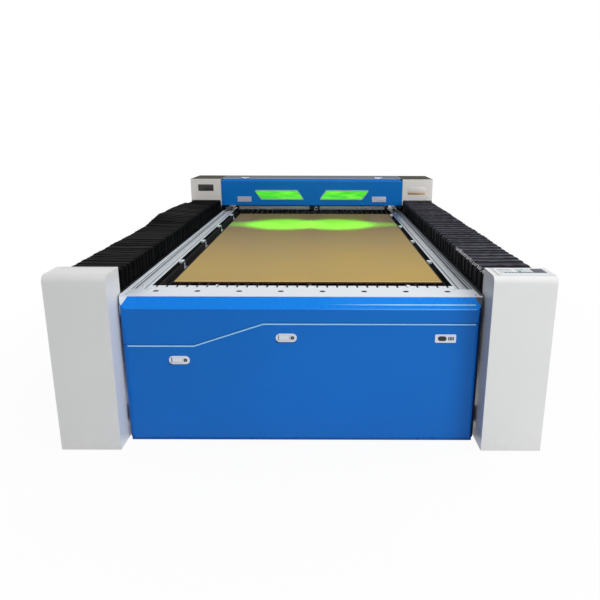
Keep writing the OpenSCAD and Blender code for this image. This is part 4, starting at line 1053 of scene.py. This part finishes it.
@dataclass
class Bodywork:
    """Towers, front, sides and rear of the machine."""

    bead: float = 0.0036
    bend_height: float = 0.68
    band_rear: float = -1.9405
    corner_cut: float = 0.038
    crease_rise: float = 0.019
    lip_bend: float = 0.032
    lip_turns: int = 8

    def build(self) -> None:
        """Builds the body panels, their trim and their screws."""
        fold(Finish.white_paint, 0.004, 3, "tower_front_left", "rear_towers")
        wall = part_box("tower_front_right")[0].x + 0.002
        # The right tower's inner wall takes the grey painted shade.
        FoldedSheet("tower_front_right", (Finish.white_paint, Finish.return_grey), 0.004, 3,
                    pick=lambda face: int(face.normal.x < -0.5
                                          and face.calc_center_median().x < wall)).build()
        fold(Finish.white_paint, 0.0025, 2, "side_panels")
        fold(Finish.white_paint, 0.002, 2, "rear_panel")
        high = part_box("front_panel")[1]
        rise = high.z - self.bend_height
        FoldedSheet("front_panel", (Finish.blue_paint, Finish.seam_navy, Finish.band_blue,
                                    Finish.rim_paint, Finish.lip_steel), 0.0025, 3, pick=self.panel_face,
                    cuts=tuple(((side * high.x, 0, self.bend_height), (side * rise, 0, self.corner_cut))
                               for side in (-1, 1))).build()
        FoldedSheet("front_door", (Finish.blue_paint, Finish.seam_navy), 0.004, 3,
                    pick=self.return_face).build()
        self.door_bead()
        self.panel_creases()
        self.foot_strip()
        self.table_lips()
        fold(Finish.sheet_zinc, 0.0015, 2, "exhaust_duct")
        self.screws()

    def return_face(self, face: Face) -> int:
        """Returns 1 for a face that turns away to the shaded right side, which gets the navy painted shade, 0
        for the others.
        """
        return int(face.normal.x > 0.42 and abs(face.normal.z) < 0.3)

    def panel_face(self, face: Face) -> int:
        """Returns 1 for a side return in navy painted shade, 2 for the sloped band in a lighter blue as
        painted light, 3 and 4 for its cut corners (the right one grey as painted shade), 0 for the rest.
        """
        if face.normal.y < -0.5 and face.normal.z > 0.3:
            place, top = face.calc_center_median(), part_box("front_panel")[1]
            share = (place.z - self.bend_height) / (top.z - self.bend_height)
            if abs(place.x) - top.x + self.corner_cut * share <= 0:
                return 2
            return 3 if place.x < 0 else 4
        return self.return_face(face)

    def door_bead(self) -> None:
        """Adds the rolled bead along the door's stepped upper edge, pale as a painted highlight."""
        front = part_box("front_door")[0].y
        rims = [vert.co for vert in frame["nodes"]["front_door"].data.vertices
                if vert.co.y < front + 1e-4 and vert.co.z > 0.3]
        low_x, high_x = min(co.x for co in rims), max(co.x for co in rims)
        low_z = max(co.z for co in rims if co.x < low_x + 1e-3)
        high_z = max(co.z for co in rims)
        foot = max(co.x for co in rims if abs(co.z - low_z) < 1e-4)
        head = min(co.x for co in rims if abs(co.z - high_z) < 1e-4)
        path = [(low_x, low_z), (foot, low_z), (head, high_z), (high_x, high_z)]
        shape = bmesh.new()
        add_rod(shape, [(x, front, z - self.bead) for x, z in path], self.bead)
        finish_piece("door_edge_highlight_bead", shape, "door", (Finish.seam_blue,))

    def panel_creases(self) -> None:
        """Adds two rods that carry painted highlights: one on the rounded bend under the sloped band, one as
        a crease pressed along its right half.
        """
        low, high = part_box("front_panel")
        shape = bmesh.new()
        # Both rods carry painted highlights: pale along the bend, paler along the crease towards the right.
        add_rod(shape, [(x, low.y + 0.0026, self.bend_height) for x in (low.x + 0.03, high.x - 0.03)],
                self.bead)
        lean = (self.band_rear - low.y) / (high.z - self.bend_height)
        y, z = low.y + self.crease_rise * lean + 0.0024, self.bend_height + self.crease_rise
        add_rod(shape, [(0.12, y + 0.0012, z), (0.3, y, z), (high.x - 0.035, y, z)], self.bead, 1)
        finish_piece("panel_creases", shape, "frame", (Finish.fold_blue, Finish.crease_blue))

    def foot_strip(self) -> None:
        """Adds the sealing strip that closes the gap under the door."""
        low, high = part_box("front_door")
        shape = bmesh.new()
        add_block(shape, (low.x + 0.012, low.y + 0.0002, 0.0025),
                  (high.x - 0.012, low.y + 0.0034, low.z + 0.004), 0.0012)
        finish_piece("door_foot_strip", shape, "door", (Finish.strip_blue,))

    def table_lips(self) -> None:
        """Adds the rubber-backed steel lip along the table's outer edges, bent down at the front; the left
        one is white, the right one grey as painted shade.
        """
        low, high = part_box("front_flange")
        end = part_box("rear_flange")[1].y - 0.01
        section = Matrix.Diagonal((0.013, 1.0, 0.0024, 1.0)) @ Matrix.Rotation(QUARTER, 4, "X")
        steps = [(0.0, low.y + 0.03 - end, 0.0)]
        for turn in range(self.lip_turns):
            first, last = (QUARTER * share / self.lip_turns for share in (turn, turn + 1))
            steps.append((0.0, -self.lip_bend * (math.sin(last) - math.sin(first)),
                          -self.lip_bend * (math.cos(first) - math.cos(last))))
        steps.append((0.0, -0.002, -0.06))
        # The right lip takes the grey painted shade, the left one the white rim paint.
        for (side, name), finish in zip(SIDES, (Finish.rim_paint, Finish.lip_steel)):
            place = Matrix.Translation((side * (high.x - 0.004), end, high.z + 0.0012))
            shape = bmesh.new()
            bmesh.ops.create_grid(shape, x_segments=1, y_segments=1, size=0.5, matrix=place @ section)
            ring = list(shape.edges)
            for step in steps:
                _, ring, _ = pull_out(shape, ring, step)
            bmesh.ops.contextual_create(shape, geom=ring)
            bmesh.ops.recalc_face_normals(shape, faces=shape.faces)
            finish_piece(f"table_lip_{name}", shape, "frame", (finish,))

    def screws(self) -> None:
        """Adds the screws along the side skirts' edges and round the rear panel."""
        low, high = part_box("side_panels")
        for side, name in SIDES:
            places = [(side * high.x, y, z) for y in spaced(low.y, high.y, 0.09, 9)
                      for z in (low.z + 0.03, high.z - 0.03)]
            ScrewSet(f"side_screws_{name}", "frame", places, Vector((side, 0, 0)), 0.006, 0.0022).build()
        low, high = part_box("rear_panel")
        places = [(x, high.y, z) for x in spaced(low.x, high.x, 0.03, 7)
                  for z in (low.z + 0.03, high.z - 0.035)]
        ScrewSet("rear_screws", "frame", places, REARWARD, 0.006, 0.0028).build()


@dataclass
class FrontLatches:
    """Latches of the front door and the gantry lid, with their small details."""

    paddles: tuple[str, str] = ("door_paddle_left", "door_paddle_middle")
    plate_half: float = 0.0205
    leaf_top: float = 0.1
    ribs: int = 4
    rib_step: float = 0.0072

    def build(self) -> None:
        """Builds the latch plates, paddles, locks, the dark seals that stand as their painted shadow, and
        hinge screws.
        """
        FoldedSheet("door_latch_plates", (Finish.latch_metal, Finish.strip_blue), 0.0009,
                    pick=lambda face: int(face.calc_center_median().z < self.leaf_top),
                    corner=0.006, corner_above=self.leaf_top).build()
        fold(Finish.latch_metal, 0.0009, 2, *self.paddles)
        fold(Finish.lid_latch, 0.0008, 2, "lid_latch_plates", "lid_paddle_left", "lid_paddle_right")
        fold(Finish.lock_black, 0.001, 2, "door_push_button")
        self.locks()
        self.seals()
        self.hinge_screws()

    def seals(self) -> None:
        """Adds a dark rubber seal set low under each door latch, where it stands as the plate's painted
        shadow, and the ribs beside the push button.
        """
        shape = bmesh.new()
        front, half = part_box("front_door")[0].y, self.plate_half
        plate_low, plate_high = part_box("door_latch_plates")
        spans = [(low.x - half, high.x + 0.0307, (low.z + high.z) / 2)
                 for low, high in map(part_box, self.paddles)]
        low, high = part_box("door_push_button")
        spans.append((low.x - 0.012, plate_high.x, (low.z + high.z) / 2))
        for start, end, z in spans:
            add_block(shape, (start + half * 0.4, front - 0.0016, z - half - 0.0035),
                      (end - half * 0.4, front + 0.0004, z - half + 0.002), 0.0007)
        for rib in range(self.ribs):
            x = high.x + 0.009 + rib * self.rib_step
            add_block(shape, (x, plate_low.y - 0.0008, low.z + 0.003),
                      (x + 0.0040, plate_low.y + 0.0004, high.z - 0.003), 0.0003)
        finish_piece("door_latch_shadow_seals", shape, "door", (Finish.foot_rubber,))

    def locks(self) -> None:
        """Adds a black lock face with a key slot beside each flush latch's paddle."""
        shape = bmesh.new()
        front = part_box("door_latch_plates")[0].y
        lock = Stud(0.0092, 0.0086, 0.0016, 0.0018, 0.0002, 0.0005)
        for low, high in map(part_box, self.paddles):
            x, z = high.x + 0.0141, (low.z + high.z) / 2
            place = Matrix.Translation((x, front - 0.0004, z)) @ Matrix.Rotation(QUARTER, 4, "X")
            lock.add(shape, place, -REARWARD)
            add_block(shape, (x - 0.0009, front - 0.0016, z - 0.0042),
                      (x + 0.0009, front - 0.0006, z + 0.0042), material=1)
        finish_piece("door_lock_faces", shape, "door", (Finish.lock_black, Finish.zinc_screw))

    def hinge_screws(self) -> None:
        """Adds the screws in the lid hinges' leaves."""
        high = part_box("lid_hinges")[1]
        places = [(side * (high.x - 0.035 + off), high.y - 0.011, high.z - 0.0092)
                  for side in (-1, 1) for off in (-0.022, 0.022)]
        ScrewSet("lid_hinge_screws", "gantry", places, UP, 0.0045, 0.0022).build()


@dataclass
class GantryHousing:
    """Lid, covers, end caps and windows of the gantry."""

    plate_lift: float = 0.0016
    ring_radius: float = 0.0135
    ring_height: float = 0.767

    def build(self) -> None:
        """Builds the housing, its windows, its plates and its screws."""
        for side in ("left", "right"):
            # The caps' upward faces take the dark painted shade.
            FoldedSheet(f"end_cap_{side}", (Finish.cap_paint, Finish.cap_top), 0.003, 3,
                        pick=lambda face: int(face.normal.z > 0.8)).build()
        fold(Finish.beam_blue, 0.0025, 3, "beam_lid")
        low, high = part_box("beam_top_cover")
        seam = (low.y + high.y) / 2
        FoldedSheet("beam_top_cover", (Finish.cover_grey, Finish.dark_paint), 0.002,
                    pick=lambda face: int(face.calc_center_median().y > seam),
                    cuts=(((0, seam, 0), (0, 1, 0)),)).build()
        fold(Finish.dark_paint, 0.002, 2, "beam_rear_cover")
        fold(Finish.window_rim, 0.0012, 2, "window_frames")
        fold(Finish.frame_paint, 0.004, 3, "beam_tube")
        fold(Finish.dark_paint, 0.0015, 2, "cutting_head")
        fold(Finish.motor_black, 0.0015, 2, "x_motor")
        self.bare_plate("end_plate_left", (-1.081, -0.935), ((0.930, 0.991),), (Finish.plate_dark,))
        self.bare_plate("end_plate_right", (0.916, 1.082), ((0.918, 0.971), (0.901, 0.917)),
                        (Finish.cap_paint, Finish.plate_gold))
        self.mirror_ring()
        low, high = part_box("beam_rear_cover")
        places = [(x, high.y, z) for x in spaced(low.x, high.x, 0.05, 7)
                  for z in (low.z + 0.03, high.z - 0.03)]
        ScrewSet("rear_cover_screws", "gantry", places, REARWARD, 0.005, 0.0026).build()

    def bare_plate(self, name: str, ends: tuple[float, float], bands: Rings,
                   finishes: tuple[Finish, ...]) -> None:
        """Puts a plain plate on the front of an end cap.

        Args:
            name: Name of the plate.
            ends: Its left and right end.
            bands: Lower and upper edge of each of its bands.
            finishes: Finish of each band.
        """
        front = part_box("end_cap_left")[0].y
        shape = bmesh.new()
        for band, (low, high) in enumerate(bands):
            add_block(shape, (ends[0], front - self.plate_lift, low), (ends[1], front + 0.0004, high),
                      0.0006, band)
        finish_piece(name, shape, "gantry", finishes)

    def mirror_ring(self) -> None:
        """Adds the bright ring round the cutting head's mirror cap."""
        low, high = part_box("cutting_head")
        centre = Vector(((low.x + high.x) / 2 + 0.014, low.y + 0.001, self.ring_height))
        shape = bmesh.new()
        start = bmesh.ops.create_circle(shape, cap_ends=False, segments=8, radius=0.0022)["verts"]
        bmesh.ops.translate(shape, verts=start, vec=(self.ring_radius, 0, 0))
        bmesh.ops.spin(shape, geom=[*shape.verts, *shape.edges], cent=(0, 0, 0), axis=(0, 1, 0),
                       angle=math.tau, steps=32, use_merge=True)
        bmesh.ops.remove_doubles(shape, verts=shape.verts, dist=1e-6)
        bmesh.ops.recalc_face_normals(shape, faces=shape.faces)
        bmesh.ops.translate(shape, verts=shape.verts, vec=centre)
        finish_piece("mirror_cap_ring", shape, "head", (Finish.latch_metal,))


@dataclass
class OperatorPanel:
    """Bezel, display and key field on the right front tower."""

    display_rows: Rings = ((0.012, 0.020), (0.024, 0.014), (0.036, 0.014), (0.060, 0.030))
    key_columns: int = 4
    key_rows: int = 5
    key_pitch: tuple[float, float] = (0.0126, 0.0156)
    side_bars: int = 3
    fields: int = 13
    field_pitch: float = 0.0150

    def build(self) -> None:
        """Builds the bezel, its prints and its screws."""
        fold(Finish.bezel_plastic, 0.0015, 3, "panel_bezel")
        self.display_marks()
        self.key_marks()
        self.field_row()
        low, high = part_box("panel_bezel")
        places = [(x, y, high.z) for x in (low.x + 0.010, high.x - 0.010)
                  for y in (low.y + 0.010, high.y - 0.010)]
        ScrewSet("panel_screws", "frame", places, UP, 0.0032, 0.0016).build()

    def display_marks(self) -> None:
        """Lays plain bars and a field on the display."""
        low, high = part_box("lcd_screen")
        x, floor, top = low.x + 0.008, high.z - PRINT, high.z + 0.0004
        shape = bmesh.new()
        for start, width in self.display_rows:
            add_block(shape, (x, low.y + start, floor), (x + width, low.y + start + 0.006, top))
        add_block(shape, (high.x - 0.024, low.y + 0.016, floor), (high.x - 0.006, low.y + 0.046, top),
                  material=1)
        finish_piece("display_fields", shape, "frame", (Finish.keypad, Finish.key_print))

    def key_marks(self) -> None:
        """Prints a plain light bar on every key and dark bars on the bezel."""
        low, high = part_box("keypad")
        shape = bmesh.new()
        for column in range(self.key_columns):
            for row in range(self.key_rows):
                x = low.x + 0.0098 + column * self.key_pitch[0]
                y = low.y + 0.0105 + row * self.key_pitch[1]
                add_block(shape, (x - 0.0028, y - 0.0010, high.z - PRINT),
                          (x + 0.0028, y + 0.0010, high.z + 0.0003))
        low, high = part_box("panel_bezel")
        for row in range(self.side_bars):
            y = low.y + 0.052 + row * 0.026
            add_block(shape, (low.x + 0.016, y, high.z - PRINT), (low.x + 0.080, y + 0.004, high.z + 0.0004),
                      material=1)
        finish_piece("key_bars", shape, "frame", (Finish.key_print, Finish.keypad))

    def field_row(self) -> None:
        """Prints a row of plain dark fields along the front of the bezel."""
        low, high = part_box("panel_bezel")
        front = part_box("lcd_screen")[0].y
        shape = bmesh.new()
        for field in range(self.fields):
            x = low.x + 0.036 + field * self.field_pitch
            add_block(shape, (x, front - 0.004, high.z - PRINT), (x + 0.0118, front + 0.012, high.z + 0.0005),
                      0.0002)
        finish_piece("key_row", shape, "frame", (Finish.keypad,))


@dataclass
class Studio:
    """Pale floor, white surroundings, soft lamps and the camera."""

    sensor: float = 36.0
    lens: float = 605.03 / 600 * 36
    shift: float = -0.0364
    eye: Point = (0.097, -4.684, 1.486)
    pitch: float = 15.64
    ambient: float = 0.38
    pool_reach: float = 0.85
    pool_height: float = 0.22
    pool_spread: float = 50.0
    pool_colour: Point = (0.10, 1.0, 0.02)
    pools: tuple[Colour, ...] = ((0.215, 0.60, 0.56, 4.3), (0.50, 0.44, 0.26, 0.6))

    def build(self) -> None:
        """Builds the floor, the world, the lamps and the camera."""
        bpy.context.scene.view_settings.view_transform = "Standard"
        self.floor()
        self.surroundings()
        self.lamp("overhead", (1.4, -2.2, 4.8), (0.0, 0.0, 0.4), (5.0, 5.0), 116.0)
        self.lamp("front_fill", (4.8, -6.0, 2.5), (0.0, -1.4, 0.5), (2.6, 2.6), 116.0)
        self.pane_light()
        self.camera()

    def pane_light(self) -> None:
        """Throws the green pools of the lit panes on the board in front of the gantry."""
        y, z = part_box("window_panes")[0].y - self.pool_reach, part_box("bed_board")[1].z
        for side, name in SIDES:
            for part, (off, wide, deep, power) in enumerate(self.pools):
                glow = self.lamp(f"pane_light_{name}_{part}", (side * off, y, z + self.pool_height),
                                 (side * off, y, z), (wide, deep), power, self.pool_colour)
                glow.data.shape = "ELLIPSE"
                glow.data.spread = math.radians(self.pool_spread)
                glow.visible_camera = False
                glow.visible_glossy = False
                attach(glow, "gantry")

    def floor(self) -> None:
        """Lays a pale floor that keeps the machine's shadow and fades into the white around it."""
        shape = bmesh.new()
        bmesh.ops.create_grid(shape, x_segments=1, y_segments=1, size=30.0)
        ground = show("floor", shape)
        graph = Graph(bpy.data.materials.new("studio_floor_finish"))
        tone = graph.mix(graph.patches(graph.place(), 40.0, 2.0, 0.3, 0.7),
                         srgb(240, 240, 240), srgb(244, 244, 244))
        matt = graph.add("BsdfDiffuse", {"Color": tone}).outputs[0]
        glow = graph.add("Emission", {"Color": (1, 1, 1, 1), "Strength": 1.0}).outputs[0]
        reach = graph.add("VectorMath", {0: graph.place(1.0, 0.6, 1.0)}, operation="LENGTH").outputs["Value"]
        share = graph.math("MULTIPLY", graph.seen(), graph.spread(reach, 1.3, 2.6, 0.93, 1.0))
        both = graph.add("MixShader", {0: share, 1: matt, 2: glow}).outputs[0]
        ground.data.materials.append(graph.end(both))

    def surroundings(self) -> None:
        """Makes the world white to the eye and plain grey as a light."""
        graph = Graph(bpy.data.worlds.new("studio"))
        level = graph.spread(graph.seen(), 0.0, 1.0, self.ambient, 1.0)
        sky = graph.add("Background", {"Color": (1, 1, 1, 1), "Strength": level})
        bpy.context.scene.world = graph.end(sky.outputs[0])

    def lamp(self, name: str, place: Point, aim: Point, size: tuple[float, float], power: float,
             colour: Point = (1.0, 1.0, 1.0)) -> Thing:
        """Hangs a soft rectangular lamp.

        Args:
            name: Name of the lamp.
            place: Where it hangs.
            aim: Point that it faces.
            size: Its width and height.
            power: Power in watts.
            colour: Colour of its light.

        Returns:
            The lamp's object.
        """
        light = bpy.data.lights.new(name, "AREA")
        light.shape = "RECTANGLE"
        light.size, light.size_y = size
        light.energy = power
        light.color = colour
        hung = bpy.data.objects.new(name, light)
        hung.location = place
        hung.rotation_euler = (Vector(place) - Vector(aim)).to_track_quat("Z", "Y").to_euler()
        bpy.context.scene.collection.objects.link(hung)
        return hung

    def camera(self) -> None:
        """Sets the camera in front of the machine at standing height."""
        data = bpy.data.cameras.new("camera")
        data.sensor_width = self.sensor
        data.lens = self.lens
        data.shift_x = self.shift
        eye = bpy.data.objects.new("camera", data)
        eye.location = self.eye
        eye.rotation_euler = (math.radians(90 - self.pitch), 0.0, -0.0004)
        eye.rotation_euler.rotate_axis("Z", 0.0028)
        bpy.context.scene.collection.objects.link(eye)
        bpy.context.scene.camera = eye


OWN_FINISH: dict[str, Finish] = {"door_hinges": Finish.strip_blue, "base_frame": Finish.frame_paint}


def dress_frame_nodes() -> None:
    """Gives every construction node that is still shown its finish."""
    for name, node in frame["nodes"].items():
        if node.hide_render:
            continue
        finish = OWN_FINISH.get(name, Finish[SLOT_OF[name]])
        node.data.materials.clear()
        node.data.materials.append(finish.material)
        LOG.info("node %s: %s", name, finish.name)


def main() -> None:
    """Builds the machine's visual model and its studio."""
    for part in (Bodywork(), CuttingBed(), GuideCovers(), FrontLatches(), GantryHousing(), OperatorPanel()):
        part.build()
        LOG.info("built %s", type(part).__name__)
    dress_frame_nodes()
    Studio().build()


if __name__ == "__main__":
    logging.basicConfig(level=logging.INFO, format="%(message)s")
    main()
